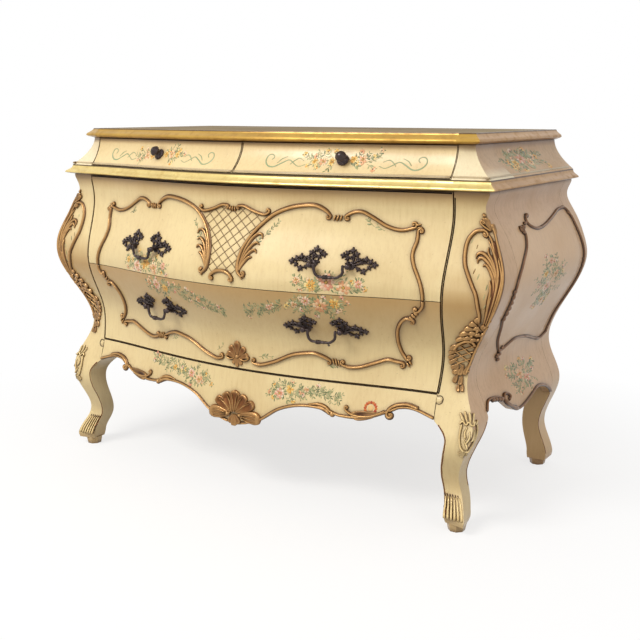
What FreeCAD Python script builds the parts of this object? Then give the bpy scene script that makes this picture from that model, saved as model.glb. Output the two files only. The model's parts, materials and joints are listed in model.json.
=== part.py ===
"""Bombe chest: a kettle-sided case with two deep drawers, two frieze drawers, four cabriole legs and
gilt mouldings.

Frame: millimetres, +Z up, X across the front, the front faces -Y. The origin is on the floor, at the
middle of the chest's width and depth. Every driving size is a cell of the sheet "Sizes".
"""

import FreeCAD
import Part
import Sketcher
import math
import os
import re

from FreeCAD import Placement, Rotation, Vector

DOC = FreeCAD.newDocument("bombe_chest")

# ---------------------------------------------------------------- driving sizes

SIZES = [
    # heights, from the floor up
    ("pad_height", 18, "foot pad under each toe"),
    ("toe_height", 27, "widest point of the toe"),
    ("ankle_height", 112, "thinnest point of the leg"),
    ("knee_height", 228, "fullest point of the leg"),
    ("arch_height", 243, "where apron and leg meet"),
    ("case_bottom", 298, "underside of the lower drawer opening"),
    ("lower_drawer_height", 204, "opening of the lower drawer"),
    ("upper_drawer_height", 225, "opening of the upper drawer"),
    ("waist_height", 24, "waist board and its moulding"),
    ("frieze_height", 69, "cove with the two small drawers"),
    ("top_height", 24, "top board, panel and moulding"),
    # half widths of the outer corner at those levels
    ("toe_half", 571, ""),
    ("ankle_half", 546, ""),
    ("knee_half", 580, ""),
    ("low_waist_half", 547, "slimmest point of the case"),
    ("belly_half", 633, "fullest point of the case"),
    ("shoulder_half", 602, "between neck and belly"),
    ("neck_half", 575, "pinch under the waist moulding"),
    ("waist_half", 584, "case directly under the moulding"),
    ("frieze_low_half", 587, "foot of the cove"),
    ("frieze_top_half", 537, "head of the cove"),
    # depths of the outer front corner in front of the back plane
    ("toe_depth", 549, ""),
    ("ankle_depth", 521, ""),
    ("knee_depth", 547, ""),
    ("low_waist_depth", 494, ""),
    ("belly_depth", 534, ""),
    ("neck_depth", 496, ""),
    ("waist_depth", 502, ""),
    ("frieze_low_depth", 506, ""),
    ("frieze_top_depth", 472, ""),
    # serpentine front: how far the middle stands in front of the drawer edges
    ("bow_apron", 48, ""),
    ("bow_bottom", 62, ""),
    ("bow_belly", 88, ""),
    ("bow_waist", 72, ""),
    ("bow_top", 60, ""),
    ("stile_rake", 14, "drop back from drawer edge to corner"),
    # heights at which the profile turns, measured from the nearest drawer opening
    ("low_waist_above_bottom", 32, ""),
    ("belly_above_joint", 48, ""),
    ("neck_below_waist", 35, ""),
    ("shoulder_below_waist", 87, ""),
    # drawer openings
    ("edge_waist", 511, "half width of the opening at the waist"),
    ("edge_joint", 503, "half width where the deep drawers meet"),
    ("edge_bottom", 487, "half width at the case bottom"),
    ("frieze_edge", 505, "half width of the frieze openings"),
    ("reveal", 1.5, "open joint above and below each drawer front"),
    ("side_reveal", 3, "open joint beside a deep drawer front"),
    ("seat_gap", 0.3, "dry joint between glued pieces"),
    ("post_gap", 0.7, "joint where a panel meets a curved post"),
    ("slide_gap", 0.5, "running gap under and beside a drawer"),
    # boards
    ("back_y", 317.7, "Y of the back plane"),
    ("top_back_lip", 7, "top beyond the back plane"),
    ("skin", 20, "fronts, apron and side panels"),
    ("back_thick", 12, ""),
    ("dust_thick", 12, "boards between drawers"),
    ("stile_back", 453, "back face of a front stile, before the back plane"),
    ("rear_post_depth", 53, ""),
    ("rear_post_edge", 500, "inner face of a rear post"),
    ("leg_ankle_size", 42, ""),
    ("leg_knee_size", 57, ""),
    ("leg_toe_size", 50, ""),
    ("pad_size", 34, "foot pad at the floor"),
    ("pad_flare", 8, "how much wider the pad is where it meets the toe"),
    ("guide_thick", 9, "strip that guides a drawer side"),
    ("guide_height", 18, ""),
    ("divider_half", 8, "half of the frieze divider"),
    ("frieze_block_depth", 95, "corner block of the cove"),
    # drawer boxes
    ("side_thick", 12, ""),
    ("bottom_thick", 7, ""),
    ("bottom_rise", 6, "drawer bottom above the lower edge of its sides"),
    ("side_margin", 26, "drawer sides end this far under the top of the opening"),
    ("frieze_side_margin", 12, ""),
    ("drawer_back_gap", 24, "behind a closed drawer"),
    # mouldings and carving
    ("waist_lip", 18, "waist moulding beyond the case"),
    ("top_lip", 15, "top moulding beyond the cove"),
    ("moulding_seat", 24, "depth of the rebate behind a moulding"),
    ("panel_inset", 10, "top panel inside the moulding"),
    ("relief", 7, "thickness of applied carving"),
    ("relief_gap", 0.2, "glue line under applied carving"),
    ("rail_width", 11, "width of the carved cartouche rails"),
    ("bead_width", 12, "gilt bead on the apron edge"),
    ("shell_half", 76, "half width of the apron shell"),
    ("shell_low", 160, ""),
    ("shell_relief", 16, ""),
    ("corner_relief", 5, "leaf carving proud of the corner"),
    # pulls
    ("pull_x_upper", 266, "middle of a pull on the upper drawer"),
    ("pull_x_lower", 238, ""),
    ("pull_above_joint", 64, "upper pull posts above the drawer joint"),
    ("pull_below_joint", 85, "lower pull posts below the drawer joint"),
    ("post_half", 42, "half the spacing of the two posts"),
    ("post_reach", 17, "eye centre in front of the drawer face"),
    ("post_radius", 6.5, "ball head of a post"),
    ("post_neck", 4, ""),
    ("pin_radius", 2.2, "pivot of a bail"),
    ("pin_clearance", 0.08, "radial play of the pivot"),
    ("bail_drop", 25, ""),
    ("bail_radius", 3.2, "thickness of the bail wire"),
    ("bail_bend", 17, "bend radius of its lower corners"),
    ("plate_thick", 4, "cast backplate"),
    ("knob_x", 259, ""),
    ("knob_rise", 34, "knob above the waist board"),
    ("knob_neck", 2.5, "screw of the knob"),
    ("knob_radius", 12, ""),
    ("knob_reach", 27, ""),
    ("knob_lift", 1.4, "rose in front of the cove, on its short neck"),
    ("rose_radius", 14, ""),
]

SHEET = DOC.addObject("Spreadsheet::Sheet", "Sizes")
for row, (alias, value, note) in enumerate(SIZES, start=1):
    SHEET.set("A%d" % row, alias.replace("_", " "))
    SHEET.set("B%d" % row, str(value))
    SHEET.setAlias("B%d" % row, alias)
    SHEET.set("C%d" % row, note)
DOC.recompute()


class Values:
    """The sheet's cells as plain numbers, for the shapes that Part's functions build."""

    def __getattr__(self, alias):
        return float(SHEET.get(alias))


S = Values()
ALIASES = {alias for alias, value, note in SIZES}


def bind(thing, prop, text):
    """Binds a property to an expression written with the sheet's aliases."""
    words = re.sub(r"[a-z_]+", lambda m: "Sizes." + m.group(0) if m.group(0) in ALIASES else m.group(0), text)
    thing.setExpression(prop, words)


# ---------------------------------------------------------------- levels

Z_BOTTOM = "case_bottom"
Z_JOINT = "(case_bottom + lower_drawer_height)"
Z_WAIST = "(case_bottom + lower_drawer_height + upper_drawer_height)"
Z_FRIEZE = "(case_bottom + lower_drawer_height + upper_drawer_height + waist_height)"
Z_TOP = "(case_bottom + lower_drawer_height + upper_drawer_height + waist_height + frieze_height)"

z_bottom = S.case_bottom
z_joint = z_bottom + S.lower_drawer_height
z_waist = z_joint + S.upper_drawer_height
z_frieze = z_waist + S.waist_height
z_top = z_frieze + S.frieze_height
z_crown = z_top + S.top_height
z_belly = z_joint + S.belly_above_joint
z_low_waist = z_bottom + S.low_waist_above_bottom
z_neck = z_waist - S.neck_below_waist
z_shoulder = z_waist - S.shoulder_below_waist
y_back = S.back_y
y_stile = y_back - S.stile_back
y_rear_post = y_back - S.rear_post_depth


# ---------------------------------------------------------------- the kettle shape

def smooth(stations, at):
    """A smooth curve through (height, value) stations that never overshoots between them."""
    stations = sorted(stations)
    heights = [pair[0] for pair in stations]
    values = [pair[1] for pair in stations]
    if at <= heights[0]:
        return values[0]
    if at >= heights[-1]:
        return values[-1]
    steps = [b - a for a, b in zip(heights, heights[1:])]
    slopes = [(b - a) / step for a, b, step in zip(values, values[1:], steps)]
    tangents = [0.0]
    for before, after in zip(slopes, slopes[1:]):
        tangents.append(2 * before * after / (before + after) if before * after > 0 else 0.0)
    tangents.append(0.0)
    i = max(k for k in range(len(steps)) if heights[k] <= at)
    t = (at - heights[i]) / steps[i]
    rise = 3 * t ** 2 - 2 * t ** 3
    lead = (t ** 3 - 2 * t ** 2 + t) * steps[i] * tangents[i]
    trail = (t ** 3 - t ** 2) * steps[i] * tangents[i + 1]
    return values[i] + (values[i + 1] - values[i]) * rise + lead + trail


def straight(stations, at):
    """Straight runs between (height, value) stations."""
    stations = sorted(stations)
    if at <= stations[0][0]:
        return stations[0][1]
    for (z0, v0), (z1, v1) in zip(stations, stations[1:]):
        if at <= z1:
            return v0 + (v1 - v0) * (at - z0) / (z1 - z0)
    return stations[-1][1]


def corner_x(z):
    """Half width of the case and legs at a height."""
    return smooth([(S.toe_height, S.toe_half), (S.ankle_height, S.ankle_half), (S.knee_height, S.knee_half),
                   (z_low_waist, S.low_waist_half), (z_belly, S.belly_half), (z_shoulder, S.shoulder_half),
                   (z_neck, S.neck_half), (z_waist, S.waist_half)], z)


def corner_y(z):
    """Y of the outer front corner at a height."""
    knee = S.knee_height - 38
    depth = smooth([(S.toe_height, S.toe_depth), (S.ankle_height - 20, S.ankle_depth), (knee, S.knee_depth),
                    (z_low_waist + 30, S.low_waist_depth), (z_joint + 13, S.belly_depth),
                    (z_waist - 52, S.neck_depth), (z_waist, S.waist_depth)], z)
    return y_back - depth


def edge_x(z):
    """Half width of the drawer openings at a height."""
    return straight([(z_bottom, S.edge_bottom), (z_joint, S.edge_joint), (z_waist, S.edge_waist)], z)


def bow(z):
    return smooth([(S.knee_height - 38, S.bow_apron), (z_bottom, S.bow_bottom), (z_joint + 18, S.bow_belly),
                   (z_waist, S.bow_waist)], z)


def edge_y(z):
    """Y of the front at the edge of the drawer openings: the rake fades out towards the knee."""
    fade = min(max((z - S.arch_height) / 90, 0), 1)
    return corner_y(z) - S.stile_rake * fade


def bell(u):
    """Serpentine of the front in plan, 1 in the middle and 0 at the drawer edges."""
    return (1 - u * u) ** 1.6 if abs(u) < 1 else 0.0


def front_y(x, z):
    """Y of the case's front surface."""
    edge = edge_x(z)
    if abs(x) <= edge:
        return edge_y(z) - bow(z) * bell(x / edge)
    share = min((abs(x) - edge) / (corner_x(z) - edge), 1)
    return edge_y(z) + (corner_y(z) - edge_y(z)) * share


def cove_share(z):
    """How far the cove of the frieze still stands out at a height: 1 at its foot, 0 at its head."""
    return max(1 - (z - z_frieze) / S.frieze_height, 0) ** 1.8


def frieze_x(z):
    return S.frieze_top_half + (S.frieze_low_half - S.frieze_top_half) * cove_share(z)


def frieze_y(x, z):
    """Y of the frieze's front surface."""
    depth = S.frieze_top_depth + (S.frieze_low_depth - S.frieze_top_depth) * cove_share(z)
    swell = S.bow_top + (S.bow_waist - S.bow_top) * cove_share(z)
    corner = y_back - depth
    edge = corner - S.stile_rake
    if abs(x) <= S.frieze_edge:
        return edge - swell * bell(x / S.frieze_edge)
    share = min((abs(x) - S.frieze_edge) / (frieze_x(z) - S.frieze_edge), 1)
    return edge + (corner - edge) * share


def spline(points):
    curve = Part.BSplineCurve()
    curve.interpolate(points)
    return curve


# Where the front's plan curve is pinned, as shares of the drawer edge.
PLAN_SHARES = (0, 0.2, 0.4, 0.6, 0.8, 1)


def plan_wire(half, front, edge, z, front_inset=0.0, side_inset=0.0, back_inset=0.0):
    """A closed plan outline at a height: the serpentine front, a flat stile at each end of it, two
    straight sides and the back."""
    rights = [edge * share for share in PLAN_SHARES]
    across = [-x for x in reversed(rights[1:])] + rights
    points = [Vector(x, front(x) + front_inset, z) for x in across]
    back = y_back - back_inset
    corner = half - side_inset
    turns = [points[-1], Vector(corner, front(half) + front_inset, z), Vector(corner, back, z),
             Vector(-corner, back, z), Vector(-corner, front(half) + front_inset, z), points[0]]
    return Part.Wire([spline(points).toShape()] + [Part.makeLine(a, b) for a, b in zip(turns, turns[1:])])


def case_wire(z, front_inset=0.0, side_inset=0.0, back_inset=0.0):
    return plan_wire(corner_x(z), lambda x: front_y(x, z), edge_x(z) + S.reveal / 2, z, front_inset,
                     side_inset, back_inset)


def frieze_wire(z, front_inset=0.0, side_inset=0.0, back_inset=0.0):
    return plan_wire(frieze_x(z), lambda x: frieze_y(x, z), S.frieze_edge + S.reveal / 2, z, front_inset,
                     side_inset, back_inset)


def solid_object(label, shape):
    """A document object that holds a shape made with Part's own functions."""
    thing = DOC.addObject("Part::Feature", label)
    thing.Label = label
    thing.Shape = shape
    return thing


def case_heights():
    """Levels of the case sections, closest together where the profile turns."""
    low = S.shell_low - 20
    levels = [low, S.knee_height - 38, S.knee_height, S.arch_height + 22, z_bottom - 5, z_low_waist,
              z_low_waist + 45, (z_low_waist + z_joint) / 2 + 30, z_joint - 25, z_joint + 13, z_belly,
              z_belly + 45, z_shoulder, z_shoulder + 28, z_neck, z_waist - 15, z_waist]
    return sorted(levels)


def case_form(label, front_inset, side_inset):
    wires = [case_wire(z, front_inset, side_inset) for z in case_heights()]
    return solid_object(label, Part.makeLoft(wires, True, False))


def frieze_form(label, front_inset, side_inset):
    wires = [frieze_wire(z_frieze + S.frieze_height * share, front_inset, side_inset)
             for share in (0, 0.12, 0.28, 0.5, 0.75, 1)]
    return solid_object(label, Part.makeLoft(wires, True, False))


CASE = case_form("case_form", 0, 0)
CASE_INNER = case_form("case_inner_form", S.skin, S.skin)
CASE_CLEAR = case_form("case_clear_form", S.skin + S.reveal, S.skin + S.seat_gap)
CASE_RELIEF = case_form("case_relief_form", -S.relief, -S.relief)
CASE_LEAF = case_form("case_leaf_form", -S.corner_relief, -S.corner_relief)
CASE_SHELL = case_form("case_shell_form", -S.shell_relief, -S.shell_relief)
CASE_FACE = case_form("case_face_form", -S.relief_gap, -S.relief_gap)
FRIEZE = frieze_form("frieze_form", 0, 0)
FRIEZE_INNER = frieze_form("frieze_inner_form", S.skin, S.skin)
FRIEZE_CLEAR = frieze_form("frieze_clear_form", S.skin + S.reveal, S.skin + S.seat_gap)


# ---------------------------------------------------------------- building helpers

NODES = []


def node(thing, label=None):
    """Marks an object as a piece of the chest and gives it its name."""
    thing.Label = label or thing.Label
    NODES.append(thing)
    return thing


def box(label, x_low, x_high, y_low, y_high, z_low, z_high):
    """A board whose six faces are bound to the sheet."""
    board = DOC.addObject("Part::Box", label)
    bind(board, "Length", "(%s) - (%s)" % (x_high, x_low))
    bind(board, "Width", "(%s) - (%s)" % (y_high, y_low))
    bind(board, "Height", "(%s) - (%s)" % (z_high, z_low))
    bind(board, "Placement.Base.x", x_low)
    bind(board, "Placement.Base.y", y_low)
    bind(board, "Placement.Base.z", z_low)
    return board


def common(label, base, tool):
    thing = DOC.addObject("Part::Common", label)
    thing.Base = base
    thing.Tool = tool
    return thing


def cut(label, base, tool):
    thing = DOC.addObject("Part::Cut", label)
    thing.Base = base
    thing.Tool = tool
    return thing


def fuse(label, shapes):
    thing = DOC.addObject("Part::MultiFuse", label)
    thing.Shapes = shapes
    return thing


def group(label, shapes):
    """Several separate solids of one kind in one object."""
    thing = DOC.addObject("Part::Compound", label)
    thing.Links = shapes
    return thing


def mirrored(label, source):
    """The left-hand twin of a right-hand piece."""
    thing = DOC.addObject("Part::Mirroring", label)
    thing.Source = source
    thing.Normal = Vector(1, 0, 0)
    thing.Base = Vector(0, 0, 0)
    return thing


def front_prism(label, outline, y_low=None, y_high=None):
    """A closed XZ outline, points or wire, run through the chest's front along Y."""
    y_low = y_back - S.stile_back - 300 if y_low is None else y_low
    y_high = 0 if y_high is None else y_high
    if isinstance(outline, list):
        corners = [Vector(x, 0, z) for x, z in outline]
        outline = Part.makePolygon(corners + corners[:1])
    face = Part.Face(outline)
    face.translate(Vector(0, y_low, 0))
    return solid_object(label, face.extrude(Vector(0, y_high - y_low, 0)))


def side_prism(label, outline, x_low=None):
    """A closed YZ wire run through the right side along X."""
    x_low = S.low_waist_half - S.skin - 60 if x_low is None else x_low
    face = Part.Face(outline)
    face.translate(Vector(x_low, 0, 0))
    return solid_object(label, face.extrude(Vector(S.belly_half + 50 - x_low, 0, 0)))


def band(points, width, axes):
    """A closed wire of even width about a smooth line through flat points. axes gives the two
    directions of the plane that the points are in."""
    along, up = axes
    curve = spline([along * a + up * b for a, b in points])
    normal = along.cross(up)
    spans = 4 * (len(points) - 1)
    first, last = curve.FirstParameter, curve.LastParameter
    left, right = [], []
    for i in range(spans + 1):
        at = first + (last - first) * i / spans
        side = curve.tangent(at)[0].cross(normal)
        side.normalize()
        left.append(curve.value(at) + side * (width / 2))
        right.append(curve.value(at) - side * (width / 2))
    return Part.Wire([spline(left).toShape(), Part.makeLine(left[-1], right[-1]),
                      spline(right[::-1]).toShape(), Part.makeLine(right[0], left[0])])


FRONT_AXES = (Vector(1, 0, 0), Vector(0, 0, 1))
SIDE_AXES = (Vector(0, 1, 0), Vector(0, 0, 1))


# ---------------------------------------------------------------- legs and stiles

def leg_heights():
    """Levels of the leg sections: the case's own from the knee upwards, so that the faces agree, and
    close together on both sides of the arch, where the posts turn straight."""
    toe = [S.pad_height, (S.pad_height + S.toe_height) / 2, S.toe_height, S.toe_height + 13]
    shin = [61, 85, S.ankle_height, 140, 168, S.knee_height - 20]
    arch = [S.arch_height - 8, S.arch_height, S.arch_height + 6]
    return sorted(toe + shin + arch + case_heights()[1:])


def leg_size(z, at_knee, at_arch):
    """Thickness of a leg under the arch: full toe, thin ankle, full knee."""
    return smooth([(S.pad_height, S.pad_size + S.pad_flare + 4), (S.toe_height, S.leg_toe_size),
                   (S.ankle_height, S.leg_ankle_size), (at_knee, S.leg_knee_size),
                   (S.arch_height, at_arch), (S.arch_height + 24, at_arch + 36)], z)


def toe_tuck(z):
    """How far each face of the toe draws in under its widest point."""
    if z >= S.toe_height:
        return 0.0
    return (S.leg_toe_size - leg_size(z, S.knee_height - 25, S.leg_knee_size)) / 2


def front_leg():
    """A front stile and cabriole leg in one: square in section, its corner follows the kettle."""
    def section(z):
        x = corner_x(z)
        y = corner_y(z)
        if z >= S.arch_height:
            inner, back = edge_x(z) + S.reveal, y_stile
            inner_y = front_y(inner, z)
        else:
            x, y = x - toe_tuck(z), y + toe_tuck(z)
            splay = 11 * max(1 - z / S.ankle_height, 0)
            inner = x - leg_size(z, S.knee_height - 25, x - S.edge_bottom - S.reveal)
            inner_y = y + splay
            back = y + leg_size(z, S.knee_height - 38, y_stile - y)
        flare = 9 * max(1 - z / S.ankle_height, 0)
        corners = [Vector(x, y, z), Vector(inner, inner_y, z), Vector(inner, back, z),
                   Vector(x - flare, back, z)]
        return Part.makePolygon(corners + corners[:1])

    loft = Part.makeLoft([section(z) for z in leg_heights()], True, False)
    return solid_object("front_leg_form", loft)


def rear_leg():
    """A rear post and leg: it curves sideways only, and its back is flat."""
    def section(z):
        x = corner_x(z)
        if z >= S.arch_height:
            inner, front = S.rear_post_edge, y_rear_post
        else:
            x = x - toe_tuck(z)
            inner = x - leg_size(z, S.knee_height - 25, x - S.rear_post_edge)
            front = y_rear_post + 6 * math.sin(math.pi * min(z / (S.arch_height - 48), 1))
        corners = [Vector(x, front, z), Vector(inner, front, z), Vector(inner, y_back, z),
                   Vector(x, y_back, z)]
        return Part.makePolygon(corners + corners[:1])

    loft = Part.makeLoft([section(z) for z in leg_heights()], True, False)
    return solid_object("rear_leg_form", loft)


def octagon(x, y, z, across):
    """A level octagon, flat to flat across."""
    half, short = across / 2, across * 0.207
    turns = [(half, -short), (half, short), (short, half), (-short, half), (-half, short), (-half, -short),
             (-short, -half), (short, -half)]
    corners = [Vector(x + a, y + b, z) for a, b in turns]
    return Part.makePolygon(corners + corners[:1])


def foot_pad(label, y):
    """The eight-sided pad that a toe stands on."""
    x = S.toe_half - S.leg_toe_size / 2 - 4
    sections = [octagon(x, y, 0, S.pad_size), octagon(x, y, S.pad_height + 2, S.pad_size + S.pad_flare)]
    return solid_object(label, Part.makeLoft(sections, True, True))


front_pad = foot_pad("front_pad", y_back - S.toe_depth + S.leg_toe_size / 2 + 4)
rear_pad = foot_pad("rear_pad", y_back - S.rear_post_depth / 2)
front_leg_right = node(fuse("front_leg_right", [front_leg(), front_pad]))
rear_leg_right = node(fuse("rear_leg_right", [rear_leg(), rear_pad]))
node(mirrored("front_leg_left", front_leg_right))
node(mirrored("rear_leg_left", rear_leg_right))

# ---------------------------------------------------------------- apron, side panels, back

# Lower edge of the front apron, right half, from the leg to the middle: shallow arches that step
# down to the shell.
APRON_EDGE = [(S.edge_bottom, S.arch_height), (440, 256), (408, 255), (384, 244), (336, 226), (277, 222),
              (243, 230), (205, 234), (162, 230), (118, 215), (74, 186), (34, 171), (0, S.shell_low + 4)]


def apron_outline():
    """The apron's front view: straight ends and top, scalloped lower edge."""
    right = APRON_EDGE
    left = [(-x, z) for x, z in reversed(right[:-1])]
    lower = spline([Vector(x, 0, z) for x, z in right + left])
    end = S.edge_bottom + S.reveal - S.post_gap
    top = z_bottom - S.reveal
    start, finish = Vector(right[0][0], 0, right[0][1]), Vector(-right[0][0], 0, right[0][1])
    corners = [finish, Vector(-end, 0, finish.z), Vector(-end, 0, top), Vector(end, 0, top),
               Vector(end, 0, start.z), start]
    lines = [Part.makeLine(a, b) for a, b in zip(corners, corners[1:])]
    return Part.Wire([lower.toShape()] + lines)


case_skin = cut("case_skin", CASE, CASE_INNER)
apron_prism = front_prism("apron_prism", apron_outline())
node(common("front_apron", case_skin, apron_prism))

# Lower edge of the side, from the front leg to the rear leg: distance in front of the back plane, height.
SIDE_EDGE = [(S.stile_back, S.arch_height + 8), (428, 268), (370, 260), (335, 238), (298, 218), (265, 213),
             (220, 222), (166, 236), (132, 235), (100, 226), (73, 213), (S.rear_post_depth, S.arch_height - 43)]


def side_outline():
    """The side panel's outline seen from the side: it fills the space between the two posts."""
    front = y_stile + S.post_gap
    back = y_rear_post - S.post_gap
    points = [Vector(0, y_back - depth, z) for depth, z in SIDE_EDGE]
    points[0].y = front
    points[-1].y = back
    lower = spline(points)
    top = z_waist - S.seat_gap
    lines = [Part.makeLine(points[-1], Vector(0, back, top)),
             Part.makeLine(Vector(0, back, top), Vector(0, front, top)),
             Part.makeLine(Vector(0, front, top), points[0])]
    return Part.Wire([lower.toShape()] + lines)


side_panel_right = node(common("side_panel_right", case_skin, side_prism("side_prism", side_outline())))
node(mirrored("side_panel_left", side_panel_right))
node(box("back_panel", "-rear_post_edge + post_gap", "rear_post_edge - post_gap", "back_y - back_thick",
         "back_y", "arch_height", Z_WAIST + " - seat_gap"))

# ---------------------------------------------------------------- boards between the drawers

front_notch = box("front_notch", "edge_bottom", "belly_half + 50", "back_y - stile_back - 300",
                  "back_y - stile_back + seat_gap", "0", Z_TOP)
rear_notch = box("rear_notch", "rear_post_edge - seat_gap", "belly_half + 50",
                 "back_y - rear_post_depth - seat_gap", "back_y + 50", "0", Z_TOP)
notches = group("notches", [front_notch, rear_notch, mirrored("front_notch_left", front_notch),
                            mirrored("rear_notch_left", rear_notch)])


def dust_board(label, top):
    """A board under a drawer, shaped to the case and notched round the four posts."""
    slab = box(label + "_slab", "-belly_half - 50", "belly_half + 50", "back_y - belly_depth - 200",
               "back_y - back_thick - seat_gap", top + " - dust_thick", top)
    return node(cut(label, common(label + "_blank", CASE_CLEAR, slab), notches))


BOTTOM_SEAT = "(case_bottom + reveal + 1)"
JOINT_SEAT = "(case_bottom + lower_drawer_height + reveal + 1)"
dust_board("bottom_board", BOTTOM_SEAT)
dust_board("middle_board", JOINT_SEAT)


def guide(label, outer, front, seat):
    """The pair of strips that keep a drawer straight."""
    strip = box(label + "_right", outer + " - guide_thick", outer, front, "back_y - rear_post_depth", seat,
                seat + " + guide_height")
    return [strip, mirrored(label + "_left", strip)]


FRIEZE_BLOCK_BACK = "(back_y - frieze_top_depth + frieze_block_depth)"
DEEP_GUIDE = "edge_bottom - 2"
node(group("drawer_guides", guide("lower_guide", DEEP_GUIDE, "back_y - stile_back + 5", BOTTOM_SEAT)
           + guide("upper_guide", DEEP_GUIDE, "back_y - stile_back + 5", JOINT_SEAT)
           + guide("frieze_guide", "frieze_edge", FRIEZE_BLOCK_BACK + " + 5", Z_FRIEZE)))


def plan_slab(label, z_low, z_high, inset, wire):
    """A flat board cut to a plan outline."""
    outline = wire(inset)
    outline.translate(Vector(0, 0, z_low - outline.BoundBox.ZMin))
    return solid_object(label, Part.Face(outline).extrude(Vector(0, 0, z_high - z_low)))


def waist_outline(inset, back=0.0):
    return case_wire(z_waist, inset, inset, back)


def crown_outline(inset, back=0.0):
    return frieze_wire(z_top, inset, inset, back - S.top_back_lip)


waist_core = plan_slab("waist_core", z_waist, z_frieze - 0.0, S.moulding_seat, waist_outline)
node(waist_core, "waist_board")
case_top = node(plan_slab("case_top", z_top, z_top + S.top_height / 2, S.moulding_seat, crown_outline))
top_panel = node(plan_slab("top_panel", z_top + S.top_height / 2, z_crown, S.panel_inset, crown_outline))

# ---------------------------------------------------------------- gilt mouldings round the case

# Moulding profiles: height above the moulding's foot, and how much of the lip stands out there.
WAIST_PROFILE = [(0, 0.05), (2.5, 0.7), (5, 1), (8, 0.94), (12, 0.6), (17, 0.28), (24, 0.17)]
TOP_PROFILE = [(0, 0.02), (3, 0.55), (6, 0.95), (8, 1), (12, 0.86), (17, 0.4), (24, 0.05)]


def moulding_ring(label, profile, foot, height, lip, wire, cores):
    """A moulding that runs round front and sides, fitted over the boards that carry it."""
    scale = height / profile[-1][0]
    between = [(a[0] + b[0]) / 2 for a, b in zip(profile, profile[1:])]
    rises = sorted([rise for rise, share in profile] + between)
    wires = []
    for rise in rises:
        outline = wire(-lip * smooth(profile, rise))
        outline.translate(Vector(0, 0, foot + rise * scale - outline.BoundBox.ZMin))
        wires.append(outline)
    ring = Part.makeLoft(wires, True, True)
    for core in cores:
        ring = ring.cut(core)
    return solid_object(label, ring)


def core_prism(z_low, z_high, inset, wire):
    """The board that a moulding is fitted over, run out behind the back."""
    outline = wire(inset, -40)
    outline.translate(Vector(0, 0, z_low - outline.BoundBox.ZMin))
    return Part.Face(outline).extrude(Vector(0, 0, z_high - z_low))


def mitre_prism(label, half, y_corner):
    """The wedge of plan in front of the two mitre lines through the front corners."""
    reach = 260
    points = [Vector(-half - reach, y_corner - reach, 0), Vector(half + reach, y_corner - reach, 0),
              Vector(half - reach, y_corner + reach, 0), Vector(-half + reach, y_corner + reach, 0)]
    face = Part.Face(Part.makePolygon(points + points[:1]))
    return solid_object(label, face.extrude(Vector(0, 0, z_crown + 100)))


def mitred(prefix, ring, half, y_corner):
    """Splits a ring into its front run and its two side runs at the mitres."""
    mitre = mitre_prism(prefix + "_mitre", half, y_corner)
    node(common(prefix + "_front", ring, mitre))
    sides = cut(prefix + "_sides", ring, mitre)
    right_half = box(prefix + "_right_half", "0", "belly_half + 200", "back_y - belly_depth - 300",
                     "back_y + 50", "0", Z_TOP + " + top_height + 50")
    right = node(common(prefix + "_right", sides, right_half))
    node(mirrored(prefix + "_left", right))


seat_inset = S.moulding_seat - S.seat_gap
waist_ring = moulding_ring("waist_ring", WAIST_PROFILE, z_waist, S.waist_height, S.waist_lip, waist_outline,
                           [core_prism(z_waist - 1, z_frieze + 1, seat_inset, waist_outline)])
mitred("waist_moulding", waist_ring, S.waist_half, corner_y(z_waist))
half_crown = z_top + S.top_height / 2
top_ring = moulding_ring("top_ring", TOP_PROFILE, z_top, S.top_height, S.top_lip, crown_outline,
                         [core_prism(z_top - 1, half_crown, seat_inset, crown_outline),
                          core_prism(half_crown, z_crown + 1, S.panel_inset - S.seat_gap, crown_outline)])
mitred("top_moulding", top_ring, S.frieze_top_half, y_back - S.frieze_top_depth)

# ---------------------------------------------------------------- frieze

frieze_skin = cut("frieze_skin", FRIEZE, FRIEZE_INNER)
block_space = box("block_space", "frieze_edge + reveal", "frieze_low_half + 50",
                  "back_y - frieze_low_depth - 200", FRIEZE_BLOCK_BACK, Z_FRIEZE + " + seat_gap",
                  Z_TOP + " - seat_gap")
frieze_block_right = node(common("frieze_block_right", FRIEZE, block_space))
node(mirrored("frieze_block_left", frieze_block_right))
side_space = box("frieze_side_space", "frieze_edge", "frieze_low_half + 50",
                 FRIEZE_BLOCK_BACK + " + seat_gap", "back_y", Z_FRIEZE + " + seat_gap", Z_TOP + " - seat_gap")
frieze_side_right = node(common("frieze_side_right", frieze_skin, side_space))
node(mirrored("frieze_side_left", frieze_side_right))
divider_space = box("divider_space", "-divider_half", "divider_half", "back_y - frieze_low_depth - 200",
                    "back_y - back_thick - seat_gap", Z_FRIEZE + " + seat_gap", Z_TOP + " - seat_gap")
node(common("frieze_divider", FRIEZE_CLEAR, divider_space))
back_space = box("frieze_back_space", "-frieze_low_half", "frieze_low_half", "back_y - back_thick", "back_y",
                 Z_FRIEZE + " + seat_gap", Z_TOP + " - seat_gap")
node(common("frieze_back", FRIEZE_CLEAR, back_space))

# ---------------------------------------------------------------- shapes of the pulls


def on_front(x, z, proud=0.0):
    """A point on the front face, or in front of it."""
    return Vector(x, front_y(x, z) - proud, z)


def pull_frame(x, z):
    """Hinge axis of a pull: its middle and its direction, from the two post heads."""
    right = on_front(x + S.post_half, z, S.post_reach)
    left = on_front(x - S.post_half, z, S.post_reach)
    axis = right - left
    spacing = axis.Length
    axis.normalize()
    return (right + left) * 0.5, axis, spacing / 2


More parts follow.
